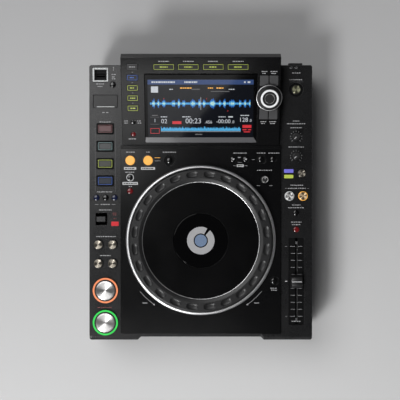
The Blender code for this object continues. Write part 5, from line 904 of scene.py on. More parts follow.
def make_glass():
    """The glass block: a toe, then a long slope in front and a short one at the right."""
    work = bmesh.new()
    soft_block(work, GLASS_MIDDLE, GLASS_SIZE, 1.5, -0.6, GLASS_LEVELS)
    middle_x, middle_v = GLASS_MIDDLE
    high = [dot for dot in work.verts if dot.co.z > 2.9]
    for dot in high:
        dot.co.y += FRONT_SLOPE if dot.co.y < middle_v else 0.0
        dot.co.x -= SIDE_SLOPE if dot.co.x > middle_x else 0.0
    # Faces that lean to the front get the paler glass: painted sheen beside the low lamp's reflection.
    for face in work.faces:
        sheen_face = face.normal.y < -0.2 and face.calc_center_median().z > 0.7
        face.material_index = 1 if sheen_face else 0
    finishes = [SCREEN_GLASS, LIP_GLASS_PAINTED_SHEEN]
    return settle("glass_block", work, finishes, HOUSING, ("screen_glass",), 25.0, HOOD_LAY)


glass_block = make_glass()
print("glass faces", len(glass_block.data.polygons))

# %% [markdown]
# ## Jog wheel
# The wheel is the piece that hands use most. Its finger ring is a turned profile with twenty-four
# scoops, each steep towards the middle and shallow outwards, because a fingertip enters from outside.

# %% Wheel with dimples
GRIP_FROM = 88.2
GRIP_TO = 99.7
GRIP_TOP = 96.3
WHEEL_RING = ((82.9, 94.3), (83.5, 94.75), (84.4, 95.1), (87.4, 96.15), (GRIP_FROM, GRIP_TOP),
              (GRIP_TO, GRIP_TOP), (100.4, 96.1), (101.6, 94.75), (102.0, 94.1), (102.0, 81.3),
              (101.7, 81.1), (98.8, 81.1), (98.5, 81.4), (98.5, 91.6), (33.3, 91.6), (33.3, 92.25),
              (82.9, 92.25))
DIMPLES = 24
DIMPLE_RADIUS = 94.0
DIMPLE_HALF = (8.2, 4.4)
DIMPLE_DEPTH = 2.1
DIMPLE_SQUARENESS = 2.4
DIMPLE_FLATNESS = 0.55
DIMPLE_LEAN = 0.18
WHEEL_STEPS = 576


def split_profile(points, low, high, count):
    """The same profile with the level run between two radii cut into even steps."""
    fine = []
    for first, second in zip(points, points[1:]):
        fine.append(first)
        if abs(first[0] - low) < 0.1 and abs(second[0] - high) < 0.1:
            fine += [(low + (high - low) * step / count, first[1]) for step in range(1, count)]
    fine.append(points[-1])
    return fine


def scoop(dot):
    """How far a point of the finger ring goes down into its nearest dimple."""
    across = Vector((dot.co.x - JOG[0], dot.co.y - JOG[1]))
    pitch = 2 * math.pi / DIMPLES
    angle = math.atan2(across.y, across.x) - pitch / 2
    off = (angle / pitch - round(angle / pitch)) * pitch * DIMPLE_RADIUS
    inwards = DIMPLE_RADIUS - across.length
    reach = sum(abs(way / half) ** DIMPLE_SQUARENESS for way, half in zip((off, inwards), DIMPLE_HALF))
    if reach >= 1.0:
        return 0.0
    lean = 1 - DIMPLE_LEAN + DIMPLE_LEAN * inwards / DIMPLE_HALF[1]
    return DIMPLE_DEPTH * (1 - reach) ** DIMPLE_FLATNESS * lean


def make_wheel():
    profile = split_profile(WHEEL_RING, GRIP_FROM, GRIP_TO, 26)
    work = turn(bmesh.new(), profile, JOG, WHEEL_STEPS, True)
    for dot in work.verts:
        if dot.co.z > GRIP_TOP - 0.1:
            dot.co.z -= scoop(dot)
    return settle("jog_ring", work, GRIP_RUBBER, "jog_wheel", ("jog_wheel",), 35.0)


jog_ring = make_wheel()
print("jog ring faces", len(jog_ring.data.polygons))

# %% [markdown]
# ## Touch plate, window and trim ring
# The plate that senses the hand is a flat satin disc inside the finger ring, with a glass window in
# its middle that stands still while the wheel turns. A polished ring is pressed into the deck round
# the wheel, and a fine bright line parts plate and grip. All four are turned profiles.

# %% Touch plate, window and trim ring
PLATE_PROFILE = ((38.9, 92.9), (38.9, 94.2), (39.1, 94.45), (39.5, 94.5), (81.9, 94.5), (82.4, 94.4),
                 (82.6, 94.1), (82.6, 92.9))
LENS_PROFILE = ((0.0, 94.5), (37.9, 94.5), (38.3, 94.4), (38.5, 94.1), (38.5, 92.9), (0.0, 92.9))
TRIM_PROFILE = ((103.0, 82.8), (103.0, 85.7), (103.25, 86.05), (103.7, 86.2), (104.9, 86.15),
                (105.8, 85.75), (106.5, 85.1), (107.0, 84.1), (107.3, 82.8))
EDGE_PROFILE = ((82.62, 94.25), (82.85, 94.45), (83.2, 94.55), (83.4, 94.4), (83.3, 94.0), (82.62, 93.9))
turned("touch_plate", PLATE_PROFILE, JOG, PLATE_SATIN, "jog_plate", ("jog_plate",), 192, closed=True)
turned("jog_window", LENS_PROFILE, JOG, SCREEN_GLASS, HOUSING, ("jog_lens",), 128)
turned("trim_ring", TRIM_PROFILE, JOG, TRIM_METAL, HOUSING, ("jog_trim_ring",), 256, closed=True)
turned("plate_edge", EDGE_PROFILE, JOG, TRIM_METAL, "jog_wheel", steps=192, closed=True)
print("jog pieces ready")

# %% [markdown]
# ## Keys
# Round keys are turned caps that sink into their panel; the metal ones are spun discs pressed into a
# plastic rim. Long keys and pads are moulded blocks with a soft edge, most with a lit frame.


# %% Round key makers
KEY_DEPTH = 4.0
DOME_DEPTH = 3.6
DOME = ((0.35, 0.05), (0.62, 0.17), (0.82, 0.36), (0.95, 0.62), (1.0, 0.95), (1.0, DOME_DEPTH))


def round_cap(name, node, place, radius, top, material, crown, low=None):
    """A plain cap: a flat top with a rolled edge, and a wall that goes down into the panel."""
    foot = low or top - KEY_DEPTH
    profile = rolled([(0.0, top), (radius, top), (radius, foot), (0.0, foot)], crown)
    return turned(name, profile, place, material, node, (node,), 48)


def domed_cap(name, node, place, radius, top, material, flow=None, replaces=True):
    """A small glossy cap with a crown like a lens, which shows each lamp as a point."""
    crown = [(radius * share, top - down) for share, down in DOME]
    profile = [(0.0, top), *crown, (0.0, top - DOME_DEPTH)]
    return turned(name, profile, place, material, node, (node,) if replaces else (), 40, flow=flow)


def metal_cap(name, node, place, radius, top, material, dish=0.25):
    """A turned disc with a raised rim and a slightly dished middle."""
    profile = [(0.0, top - dish), (radius * 0.5, top - dish * 0.75), (radius * 0.86, top - 0.03),
               (radius * 0.93, top), (radius, top - 0.30), (radius, top - 1.6), (0.0, top - 1.6)]
    return turned(name, profile, place, material, node)


def ring_cap(name, node, place, inner, outer, top, material, thickness=0.8, steps=96):
    """A flat ring with soft edges."""
    profile = [(inner, top - thickness), (inner, top - 0.12), (inner + 0.12, top), (outer - 0.2, top),
               (outer, top - 0.2), (outer, top - thickness)]
    return turned(name, profile, place, material, node, (), steps, closed=True)


# %% Square key makers
def block_cap(name, node, place, size, corner, top, material, low=None, flow=None, edge=0.35,
              replaces=True):
    """A moulded block with a soft upper edge."""
    foot = top - KEY_DEPTH if low is None else low
    work = bmesh.new()
    levels = ((0.0, top - foot - edge), (edge * 0.3, edge * 0.7), (edge * 0.7, edge * 0.3))
    soft_block(work, place, size, corner, foot, levels)
    return settle(name, work, material, node, (node,) if replaces else (), flow=flow)


def frame_cap(name, node, place, size, width, corner, height, material, flow=None, thickness=0.3):
    """A thin raised frame round a key, such as a lens with a lamp under it."""
    work = bmesh.new()
    face = soft_rectangle(work, place, size, corner, height)
    bmesh.ops.inset_individual(work, faces=[face], thickness=width, depth=0.0, use_even_offset=True)
    bmesh.ops.delete(work, geom=[face], context="FACES_ONLY")
    made = bmesh.ops.extrude_face_region(work, geom=list(work.faces))["geom"]
    dots = [item for item in made if isinstance(item, bmesh.types.BMVert)]
    bmesh.ops.translate(work, vec=(0, 0, -thickness), verts=dots)
    return settle(name, work, material, node, flow=flow)


# %% Cue and play
BIG_LIGHT = (15.6, 18.1, 82.9)
BIG_LIP = (13.6, 15.5, 83.0)
BIG_DISC = (13.5, 84.2)
for name, place, light in (("cue", CUE, ORANGE_LIGHT), ("play", PLAY, GREEN_LIGHT)):
    node = name + "_button"
    round_cap(name + "_body", node, place, 18.2, 82.4, DARK_PLASTIC, 0.3, low=77.0)
    ring_cap(name + "_light", node, place, *BIG_LIGHT, light)
    ring_cap(name + "_lip", node, place, *BIG_LIP, KEY_PLASTIC)
    metal_cap(name + "_disc", node, place, *BIG_DISC, KEY_METAL, 0.5)
print("cue and play ready")

# %% Small round keys
TRANSPORT = ("track_back_button", "track_next_button", "search_back_button", "search_forward_button")
for number, (node, place) in enumerate(zip(TRANSPORT, (*TRACK, *SEARCH))):
    round_cap("transport_%d" % number, node, place, 7.0, 82.1, KEY_PLASTIC, 0.4)
    metal_cap("transport_disc_%d" % number, node, place, 6.1, 83.0, SMALL_METAL)
for node, place, metal, light in (("beat_sync_button", SYNC, KEY_METAL, WHITE_LIGHT),
                                  ("sync_master_button", MASTER, WARM_METAL, AMBER_LIGHT)):
    round_cap(node + "_rim", node, place, 6.7, 82.0, light, 0.3)
    metal_cap(node + "_disc", node, place, 5.7, 82.8, metal)
for node, place in (("loop_in_button", LOOP_IN), ("loop_out_button", LOOP_OUT)):
    round_cap(node + "_cap", node, place, 6.7, 85.1, AMBER_LIGHT, 0.5, 79.0)
round_cap("mode_cap", "jog_mode_button", MODE, 6.2, 81.4, KEY_PLASTIC, 0.4)
metal_cap("mode_disc", "jog_mode_button", MODE, 5.3, 82.0, SMALL_METAL)
domed_cap("reloop_cap", "reloop_button", RELOOP, 4.0, 84.3, KEY_GLOSS)
domed_cap("stop_cap", "usb_stop_button", USB_STOP, 4.0, 81.8, KEY_GLOSS)
round_cap("eject_body", "eject_button", EJECT, 6.7, 80.2, KEY_PLASTIC, 0.3, low=75.0)
metal_cap("eject_disc", "eject_button", EJECT, 5.9, 80.8, OLIVE_METAL)
EJECT_FLOOR = ((6.9, 78.8), (10.6, 78.8), (10.6, 78.0), (6.9, 78.0))
turned("eject_ring", EJECT_FLOOR, EJECT, DARK_PLASTIC, HOUSING, closed=True)
print("transport, sync and eject keys ready")

# %% Domed keys
DECK_KEY_TOP = 84.3
GROUPS = (("bank_keys", BANK, 81.8, (KEY_BLUE, KEY_GLOSS, KEY_BLUE)),
          ("tempo_keys", TEMPO_KEYS, 81.8, (KEY_GLOSS, KEY_RED)),
          ("tempo_reset_button", (TEMPO_RESET,), DECK_KEY_TOP, (KEY_GLOSS,)),
          ("beat_slip_keys", (BEAT, SLIP), DECK_KEY_TOP, (KEY_GLOSS, KEY_RED)),
          ("call_keys", CALLS, DECK_KEY_TOP, (KEY_GLOSS,) * 4))
for node, places, top, finishes in GROUPS:
    for number, (place, material) in enumerate(zip(places, finishes)):
        domed_cap("%s_%d" % (node, number), node, place, 4.0, top, material, replaces=number == 0)
print("round keys ready")

# %% [markdown]
# ## Pads and the keys of the hood
# A pad is a dark block with a coloured frame and a faint glow inside the frame. The long keys at the
# left and the rear of the hood are black with a thin frame, most of them lit. Keys that share one
# moulded web ride on one body, and the first key of a web stands for the CAD piece.

# %% Pads
PAD_TOP = 81.8
PAD_FRAME = (20.0, 10.8)
PAD_GLOW = (17.0, 8.0)
PAD_SURROUND = (25.4, 16.2)
PAD_LIGHTS = (KEY_RED, TEAL_LIGHT, LIME_LIGHT, BLUE_LIGHT)
for number, (place, light, glow) in enumerate(zip(PADS, PAD_LIGHTS, PAD_TINTS), 1):
    node = "hot_cue_%d" % number
    block_cap("pad_%d" % number, node, place, PAD_SIZE, 1.2, PAD_TOP, DARK_PLASTIC)
    frame_cap("pad_frame_%d" % number, node, place, PAD_FRAME, 0.5, 0.9, PAD_TOP + 0.06, light)
    block_cap("pad_glow_%d" % number, node, place, PAD_GLOW, 0.8, PAD_TOP + 0.04, glow, PAD_TOP - 0.5,
              edge=0.1, replaces=False)
    frame_cap("pad_surround_%d" % number, HOUSING, place, PAD_SURROUND, 1.1, 1.4, CASE_TOP + 0.15,
              DARK_PLASTIC)
print(len(PADS), "pads ready")

# %% Keys of the hood
FRAME_IN = 0.3
HOOD_KEY_TOP = 1.0
HOOD_KEY_FOOT = -3.0
SOURCE_LIGHTS = (DIM_INK, BLUE_LIGHT, LIME_LIGHT, LIME_LIGHT, LIME_LIGHT)
LIT_ROWS = (("source", SOURCE, SOURCE_SIZE, 0.45, SOURCE_LIGHTS),
            ("browse", BROWSE, BROWSE_SIZE, 0.4, (LIME_LIGHT,) * 4))
for row, places, size, width, lights in LIT_ROWS:
    node = row + "_keys"
    inner_size = (size[0] - 2 * FRAME_IN, size[1] - 2 * FRAME_IN)
    for number, (place, light) in enumerate(zip(places, lights)):
        block_cap("%s_%d" % (row, number), node, place, size, 1.2, HOOD_KEY_TOP, KEY_PLASTIC,
                  HOOD_KEY_FOOT, HOOD_LAY, replaces=number == 0)
        frame_cap("%s_frame_%d" % (row, number), node, place, inner_size, width, 0.9,
                  HOOD_KEY_TOP + 0.05, light, HOOD_LAY)
for number, place in enumerate(NAV):
    block_cap("nav_%d" % number, "navigation_keys", place, NAV_SIZE, 1.0, 0.8, NAV_KEY_AND_RIB_SHEEN_PLASTIC, -2.0,
              HOOD_LAY, replaces=number == 0)
for number, (place, material) in enumerate(zip(HOOD_ROUND, (KEY_GLOSS, KEY_RED))):
    domed_cap("hood_round_%d" % number, "source_keys", place, 3.1, 1.2, material, HOOD_LAY, False)
print("hood keys ready")

# %% [markdown]
# ## Selector
# This knob is turned to browse and pushed to load. It is a soft black skirt with a pale ring, a dark
# bowl and a small dished metal face, all turned on one axis that leans with the hood. The pale ring
# glows faintly: a painted highlight in place of the shine of its chrome.

# %% Selector
SELECTOR_PIECES = (
    ("skirt", GRIP_RUBBER, False, ((0.0, 2.4), (18.1, 2.4), (18.3, 2.7), (18.3, 4.4), (17.6, 5.2),
                                   (13.2, 5.5), (12.9, 6.2), (12.7, 11.9), (12.4, 13.0), (0.0, 13.0))),
    ("ring", SELECTOR_RING_PAINTED_SHINE, True, ((9.9, 12.6), (9.9, 13.35), (10.2, 13.6), (11.2, 13.65), (12.2, 13.5),
                           (12.6, 13.1), (12.6, 12.6))),
    ("dish", DARK_METAL, False, ((0.0, 12.75), (4.0, 12.8), (6.4, 13.0), (6.7, 13.1), (6.9, 12.95),
                                 (6.9, 12.5), (0.0, 12.5))),
    ("bowl", DARK_PLASTIC, True, ((7.0, 12.7), (7.2, 12.75), (9.7, 13.25), (9.85, 13.2), (9.85, 12.4),
                                  (7.0, 12.4))),
    ("foot_line", TRIM_METAL, True, ((17.3, 5.2), (17.5, 5.45), (17.9, 5.3), (18.05, 4.9), (17.6, 4.8))),
)
for piece, material, closed, profile in SELECTOR_PIECES:
    replaced = ("selector_knob",) if piece == "skirt" else ()
    turned("selector_" + piece, profile, SELECTOR, material, "selector_knob", replaced, 96, closed,
           HOOD_LAY)
print(len(SELECTOR_PIECES), "pieces of the selector")

# %% [markdown]
# ## Slot bezel
# The disc goes into a slot in the front, under the user's wrist. Its bezel is a moulded flange with
# lips that slope inwards to lead the disc. It is drawn lying flat and then stood up.

# %% Slot bezel
BEZEL_SIZE = (146.0, 17.0)
MOUTH_SIZE = (129.0, 8.0)
BEZEL_PLACE = (0, -199.75, 50)


def make_bezel():
    """A flange with soft edges round the slot, whose lips slope in to lead the disc."""
    work = bmesh.new()
    outer = box_loop(work, (0, 0), BEZEL_SIZE, 3.0, 0.0)
    inner = box_loop(work, (0, 0), MOUTH_SIZE, 2.0, 0.0)
    bmesh.ops.bridge_loops(work, edges=outer + inner)
    draw_rim(work, outer, (0, 0), BEZEL_SIZE, ((0.35, -0.1), (0.15, -0.35), (0.0, -0.9)))
    draw_rim(work, inner, (0, 0), MOUTH_SIZE, ((-0.5, -0.2), (-0.5, -1.2), (0.0, -4.6)))
    stand = Matrix.Translation(BEZEL_PLACE) @ Matrix.Rotation(math.pi / 2, 4, "X")
    return settle("slot_bezel_face", work, KEY_PLASTIC, HOUSING, ("slot_bezel",), flow=stand)


bezel = make_bezel()
print("bezel faces", len(bezel.data.polygons))

# %% [markdown]
# ## Small knobs, lever and fader
# These are pots and switches under moulded caps. A knob tapers, so that fingers hold it, and has a
# painted pointer on its top. The lever has ribs across. The cap of the fader is its side view, a hollow
# for a finger between two ridges, drawn across and pinched towards the top.

# %% Small knobs
POINTER_SIZE = (0.9, 4.2)
POINTER_REACH = 2.9
KNOB_SIDE = ((0.0, 0.4), (5.4, 0.4), (5.6, 0.7), (5.1, 8.6), (4.7, 9.3), (4.2, 9.4), (0.0, 9.4))


def knob(node, place, panel, turn_deg, face=None):
    """A tapered knob with a painted pointer from its middle to its edge."""
    profile = [(radius, panel + height) for radius, height in KNOB_SIDE]
    turned(node + "_body", profile, place, KEY_PLASTIC, node, (node,))
    if face:
        metal_cap(node + "_face", node, place, 4.7, panel + 9.45, face, 0.2)
    angle = math.radians(turn_deg)
    spot = (place[0] - math.sin(angle) * POINTER_REACH, place[1] + math.cos(angle) * POINTER_REACH)
    bars(node + "_pointer", WHITE_INK, node, [(spot, POINTER_SIZE, panel + 8.9, 0.62, turn_deg)])


for node, place in SMALL_KNOBS.items():
    knob(node, place, CASE_TOP, 135)
knob("jog_adjust_knob", JOG_ADJUST, DECK_TOP, 0, KEY_METAL)
print("small knobs ready")

# %% Direction lever
RIB_PITCH = 1.3

work = bmesh.new()
soft_block(work, LEVER, (13.5, 8.0), 1.0, 76.0, ((0.0, 9.2), (0.25, 0.5), (0.4, 0.25)))
settle("lever_cap", work, KEY_PLASTIC, "direction_lever", ("direction_lever",))
# The ribs are paler than the lever: painted highlight where their crests catch the light.
bars("lever_ribs", NAV_KEY_AND_RIB_SHEEN_PLASTIC, "direction_lever",
     [((LEVER[0], LEVER[1] + rib * RIB_PITCH), (11.4, 0.55), 85.7, 0.3) for rib in (-2, -1, 0, 1, 2)])
print("lever ready")

# %% Tempo fader
FADER_SLOPE = ((9.5, 79.4), (9.5, 81.4), (9.0, 82.6), (6.6, 88.6), (5.6, 89.7), (4.2, 89.8), (3.0, 89.2),
               (1.6, 88.3))
FADER_SIDE = [(-y, z) for y, z in FADER_SLOPE] + [(0.0, 88.0)] + list(reversed(FADER_SLOPE))
FADER_HALF = 8.7
FADER_PINCH = 0.14
PINCH_FROM = 81.4
PINCH_RISE = 8.4
FADER_FLOOR = 78.8


def make_fader_cap():
    """The cap's side view, drawn across and pinched towards its top at both ends."""
    work = bmesh.new()
    dots = [work.verts.new((FADER[0] - FADER_HALF, FADER[1] + y, z)) for y, z in FADER_SIDE]
    side = work.faces.new(dots)
    made = bmesh.ops.extrude_face_region(work, geom=[side])["geom"]
    moved = [item for item in made if isinstance(item, bmesh.types.BMVert)]
    bmesh.ops.translate(work, vec=(2 * FADER_HALF, 0, 0), verts=moved)
    for dot in work.verts:
        rise = max(dot.co.z - PINCH_FROM, 0.0) / PINCH_RISE
        dot.co.x += (FADER[0] - dot.co.x) * FADER_PINCH * rise
    rims = [edge for edge in work.edges if abs(edge.verts[0].co.x - edge.verts[1].co.x) < 0.5
            and edge.verts[0].co.z + edge.verts[1].co.z > 163]
    bmesh.ops.bevel(work, geom=rims, offset=0.35, segments=2, profile=0.5, affect="EDGES", material=-1)
    return settle("fader_cap", work, GRIP_RUBBER, "fader_knob", ("fader_knob",), 40.0)


make_fader_cap()
bars("fader_line", WHITE_INK, "fader_knob", [(FADER, (14.2, 1.1), 87.6, 0.62)])
bars("fader_slot", DARK_PLASTIC, HOUSING, [(FADER, (2.4, 106.0), 74.0, 1.0)])
bars("fader_floor", DARK_PLASTIC, HOUSING,
     [((FADER[0] + x, FADER[1]), (9.5, 125.2), FADER_FLOOR - 0.8, 0.8) for x in (-6.25, 6.25)])
print("fader ready")

# %% [markdown]
# ## Sockets and doors
# The memory socket at the top left sits in a pale frame with a lamp behind it, and below it a flat
# door hides the card slot. The frame is a tall ring, so that its inner walls show too.

# %% USB frame and card door
frame_cap("usb_frame", HOUSING, USB, USB_SIZE, 1.9, 1.5, 80.8, WHITE_LIGHT, thickness=6.0)
block_cap("card_door_cap", "card_door", CARD, CARD_SIZE, 1.0, 80.0, KEY_PLASTIC, 78.2)
print("doors ready")

# %% [markdown]
# ## Print
# Labels on the real panels are screen printed. Here each word is a plain row of short bars, so that
# the panel has its rhythm of marks but says nothing. A mark is a block a twentieth of a millimetre
# high, as thick ink is, and all marks of one panel and one ink are one mesh.

# %% Marks
INK_HEIGHT = 0.05
LETTER_HEIGHT = 1.15
WORD_LENGTHS = (3.1, 1.7, 2.4, 3.8, 2.0)
WORD_GAP = 0.75


def mark(work, spot, size, level, turn_deg=0.0):
    bar(work, spot, size, level, INK_HEIGHT, turn_deg)


def words(work, lines, level, height=LETTER_HEIGHT):
    """Prints rows of bars: each line is a middle and a length."""
    for number, (x, y, length) in enumerate(lines):
        start = x - length / 2
        turn = number
        while start < x + length / 2 - 0.8:
            run = min(WORD_LENGTHS[turn % len(WORD_LENGTHS)], x + length / 2 - start)
            mark(work, (start + run / 2, y), (run, height), level)
            start += run + WORD_GAP
            turn += 1


def arc(work, centre, radius, width, level, start_deg, end_deg):
    """A small rectangle swept about a centre and closed at both ends."""
    half = width / 2
    corners = ((radius - half, level), (radius + half, level), (radius + half, level + INK_HEIGHT),
               (radius - half, level + INK_HEIGHT))
    dots = [work.verts.new((centre[0] + reach, centre[1], z)) for reach, z in corners]
    start = Matrix.Rotation(math.radians(start_deg), 3, "Z")
    bmesh.ops.rotate(work, cent=(*centre, 0), matrix=start, verts=dots)
    lines = [work.edges.new(pair) for pair in zip(dots, dots[1:] + dots[:1])]
    steps = max(3, int(abs(end_deg - start_deg) / 5))
    bmesh.ops.spin(work, geom=dots + lines, cent=(*centre, 0), axis=(0, 0, 1),
                   angle=math.radians(end_deg - start_deg), steps=steps)
    bmesh.ops.holes_fill(work, edges=[edge for edge in work.edges if edge.is_boundary], sides=4)


def arrow_head(work, spot, size, level, turn_deg):
    """A flat three-cornered block whose tip points along x before it is turned."""
    place = Matrix.Translation((*spot, level + INK_HEIGHT / 2))
    bmesh.ops.create_cone(work, cap_ends=True, segments=3, radius1=size, radius2=size, depth=INK_HEIGHT,
                          matrix=place @ Matrix.Rotation(math.radians(turn_deg), 4, "Z"))


def sheet(name, material, level, lines=(), marks=(), body=HOUSING, flow=None, tall=LETTER_HEIGHT):
    """One mesh of print: rows of words, then marks, each a middle, a length and a width."""
    work = bmesh.new()
    words(work, lines, level, tall)
    for x, y, length, width in marks:
        mark(work, (x, y), (length, width), level)
    return settle(name, work, material, body, flow=flow)


print("print helpers ready")

# %% Print on the housing
work = bmesh.new()
words(work, ((-144.5, 164.4, 11), (-144.5, 160.8, 7), (-125, 178.1, 6), (-125, 174.5, 5), (-125, 171.7, 5),
             (-137, 109.9, 17), (-137.4, 9.6, 23), (-137, -8.3, 13), (-137, -16.3, 18), (-135.9, -54.4, 27.8),
             (-137, -81.7, 15)), CASE_TOP)
words(work, ((136.9, 180.2, 12), (136.9, 170.5, 20), (136.6, 111.3, 9), (136.6, 107.3, 26),
             (136.6, 101.6, 16), (136.7, 74, 22), (137.9, 19.2, 18.7), (137.9, 14.7, 26),
             (136.9, -9.2, 12), (136.9, -13.1, 23), (136.9, -33.7, 15), (136.9, -37.3, 12.6),
             (136.6, -175.9, 13)), CASE_TOP)
for side in (-1, 1):
    mark(work, (-137 + side * 12.2, -8.3), (5.2, 0.4), CASE_TOP)
    mark(work, (-136.9 + side * 2.8, 123.5), (3.4, 1.2), CASE_TOP)
    mark(work, (137.9 + side * 16.0, 14.7), (2.4, 0.4), CASE_TOP)
    arc(work, (133.0 + side * 3.6, 188.0), 1.5, 0.4, CASE_TOP, 130, 410)
mark(work, (-125.2, 185.6), (0.5, 4.6), CASE_TOP)
arrow_head(work, (-125.2, 188.2), 1.1, CASE_TOP, 90)
for y in (-68.6, -168.9):
    mark(work, (122.6, y), (3.0, 0.45), CASE_TOP)
for centre in SMALL_KNOBS.values():
    for step in range(11):
        angle = math.radians(225 - 27 * step)
        spot = (centre[0] + 8.0 * math.cos(angle), centre[1] + 8.0 * math.sin(angle))
        mark(work, spot, (1.6 if step % 5 else 2.4, 0.5), CASE_TOP, math.degrees(angle))
settle("case_print", work, PALE_INK, HOUSING)
sheet("case_red_print", RED_INK, CASE_TOP,
      ((-123, -20.8, 7), (-123, -23.3, 6), (-123, -28.9, 4), (-137.4, -156.2, 21.5)))
print("pale and red print ready")

# %% Lines beside the pads and the fader
dim_marks = [(137.0, 167.4, 20.0, 0.3)]
for x in (-151.3, -122.5):
    dim_marks += [(x, 55.3, 0.35, 91.4)] + [(x, y, 1.6, 0.5) for _, y in PADS]
sheet("case_dim_print", DIM_INK, CASE_TOP, marks=dim_marks)
sheet("fader_middle_print", WHITE_INK, CASE_TOP, marks=((122.4, -118.6, 3.4, 1.0),))
fader_marks = []
for step in range(11):
    length = 6.0 if step % 5 else 7.0
    for side in (-1, 1):
        fader_marks.append((FADER[0] + side * (1.9 + length / 2), -68.6 - 10.03 * step, length, 0.45))
sheet("fader_print", PALE_INK, FADER_FLOOR, marks=fader_marks)
print("housing print ready")

# %% Print on the deck
ARROW_REACH = 113.8
work = bmesh.new()
words(work, ((-100.6, 66.5, 12.5), (-75.5, 66.5, 5), (-45, 66.5, 19), (-101, 37.8, 14), (-101, 17.4, 4.5),
             (56.3, 65.2, 19), (86.8, 65.2, 13), (104.7, 65.2, 15.8), (55.6, 59, 5), (91.3, 40.5, 21.6),
             (104.7, -128.3, 10), (104.7, -131, 8)), DECK_TOP)
for side in (-1, 1):
    mark(work, (91.2 + side * 9.0, 18.6), (5.0, 0.5), DECK_TOP)
    mark(work, (56.6 + side * 8.0, 47.1), (4.2, 0.4), DECK_TOP)
    mark(work, (side * 80.0, -149.4), (7.0, 1.1), DECK_TOP)
    first, last = (-40, -54) if side > 0 else (-140, -126)
    arc(work, JOG, ARROW_REACH, 0.5, DECK_TOP, first, last)
    angle = math.radians(last)
    tip = (JOG[0] + ARROW_REACH * math.cos(angle), JOG[1] + ARROW_REACH * math.sin(angle))
    arrow_head(work, tip, 1.7, DECK_TOP, last - 90 if side > 0 else last + 90)
mark(work, (-62.0, 54.0), (8.0, 0.5), DECK_TOP)
mark(work, (75.5, 55.8), (4.0, 0.5), DECK_TOP)
mark(work, (55.6, 51.8), (6.0, 0.4), DECK_TOP)
settle("deck_print", work, PALE_INK, HOUSING)
print("pale deck print ready")

# %% Boxes, call arrows and the beat ring
LABEL_BOXES = ((-101.1, 43.2, 17.5, 3.6), (-75.5, 43.2, 20.0, 3.6), (-101.0, 21.7, 21.9, 3.9),
               (56.6, 47.1, 9.9, 3.6))
sheet("deck_label_boxes", WHITE_INK, DECK_TOP, marks=LABEL_BOXES)
work = bmesh.new()
words(work, [(x, y, length - 3) for x, y, length, _ in LABEL_BOXES], DECK_TOP + INK_HEIGHT, 1.4)
mark(work, (0.0, 71.4), (228.0, 0.45), DECK_TOP)
settle("deck_dark_print", work, DARK_PLASTIC, HOUSING)
sheet("deck_amber_print", AMBER_LIGHT, DECK_TOP, marks=((-62.0, 58.5, 8.0, 0.6),))
ring_cap("beat_ring", HOUSING, BEAT, 4.35, 5.5, 82.62, WHITE_INK, 0.3, 48)
work = bmesh.new()
for place, turn_deg in zip(CALLS[:2], (180, 0)):
    arrow_head(work, place, 1.9, DECK_KEY_TOP - 0.02, turn_deg)
settle("call_arrows", work, WHITE_INK, "call_keys")
print("deck print ready")

# %% Print and lights on the hood
HOOD_WORDS = [(88.8, 104.2, 8), (88.8, 101.6, 6), (102.2, 104.2, 10), (102.2, 101.6, 8), (88.8, 33.6, 9),
              (88.8, 31.0, 7), (102.2, 33.6, 10), (102.2, 31.0, 8), (-97.1, 8.8, 11),
              (-105.8, 34.6, 5), (-105.8, 31.6, 5), (-86.9, 34.6, 6), (-86.9, 31.6, 5)]
KEY_WORDS = (("source_print", PALE_INK, "source_keys", SOURCE[:1], 8.5, 1.3),
             ("source_glow_print", LIME_LIGHT, "source_keys", SOURCE[2:], 7.0, 1.4),
             ("source_blue_print", BLUE_LIGHT, "source_keys", SOURCE[1:2], 7.0, 1.4),
             ("browse_glow_print", LIME_LIGHT, "browse_keys", BROWSE, 11.0, 1.5))

work = bmesh.new()
words(work, [(x, 118.2, 15.0) for x, _ in BROWSE], 0.0)
words(work, HOOD_WORDS, 0.0)
for v in (103.2, 88.6, 74.2, 60.0):
    mark(work, (-95.7, v), (1.6, 0.5), 0.0)
settle("hood_print", work, PALE_INK, HOUSING, flow=HOOD_LAY)
for name, material, node, places, length, tall in KEY_WORDS:
    sheet(name, material, HOOD_KEY_TOP, [(*place, length) for place in places], (), node, HOOD_LAY, tall)
print("hood print ready")

# %% [markdown]
# ## Lit windows
# Small lenses beside the keys tell their state. Each is a low block with a soft edge over a lamp, and
# the memory card's door has a thin light guide along its front.

# %% Lit windows
for name, place, size, light in (("mode_window", (126.2, 39.6), (13.4, 5.2), VIOLET_LIGHT),
                                 ("range_window", (126.2, 31.7), (13.0, 5.0), LIME_LIGHT),
                                 ("reverse_window", (-123.0, -36.1), (10.5, 6.2), RED_LIGHT)):
    block_cap(name, HOUSING, place, size, 0.8, CASE_TOP + 0.25, light, CASE_TOP - 1.0, edge=0.2,
              replaces=False)
bars("card_light", WHITE_LIGHT, "card_door", [((-136.5, 131.7), (25.0, 0.8), 79.6, 0.42)])
print("windows ready")

# %% [markdown]
# ## Jog window
# The window in the wheel shows how far the track has turned: a broad pale ring with one gap, round a
# disc that glows faintly. Both lie on the glass as thin as print.

# %% Jog window
WINDOW_DISC = ((0.0, 94.45), (0.0, 94.56), (8.5, 94.56), (8.6, 94.5), (8.6, 94.45), (0.0, 94.45))
work = bmesh.new()
arc(work, JOG, 14.8, 9.4, 94.5, 62, 408)
settle("jog_window_ring", work, PALE_INK, HOUSING)
turned("jog_window_disc", WINDOW_DISC, JOG, SCREEN_HAZE, HOUSING)
print("jog window ready")

# %% [markdown]
# ## What the screen shows
# A picture of its own: a plain waveform, digits and bars, with no words. Each part of it is one thin
# mesh on the glass, and most have the glass's own gloss, so that the sheen crosses the picture as it
# does on a real screen. An image could do the same, but bars and digits stay sharp from any distance.

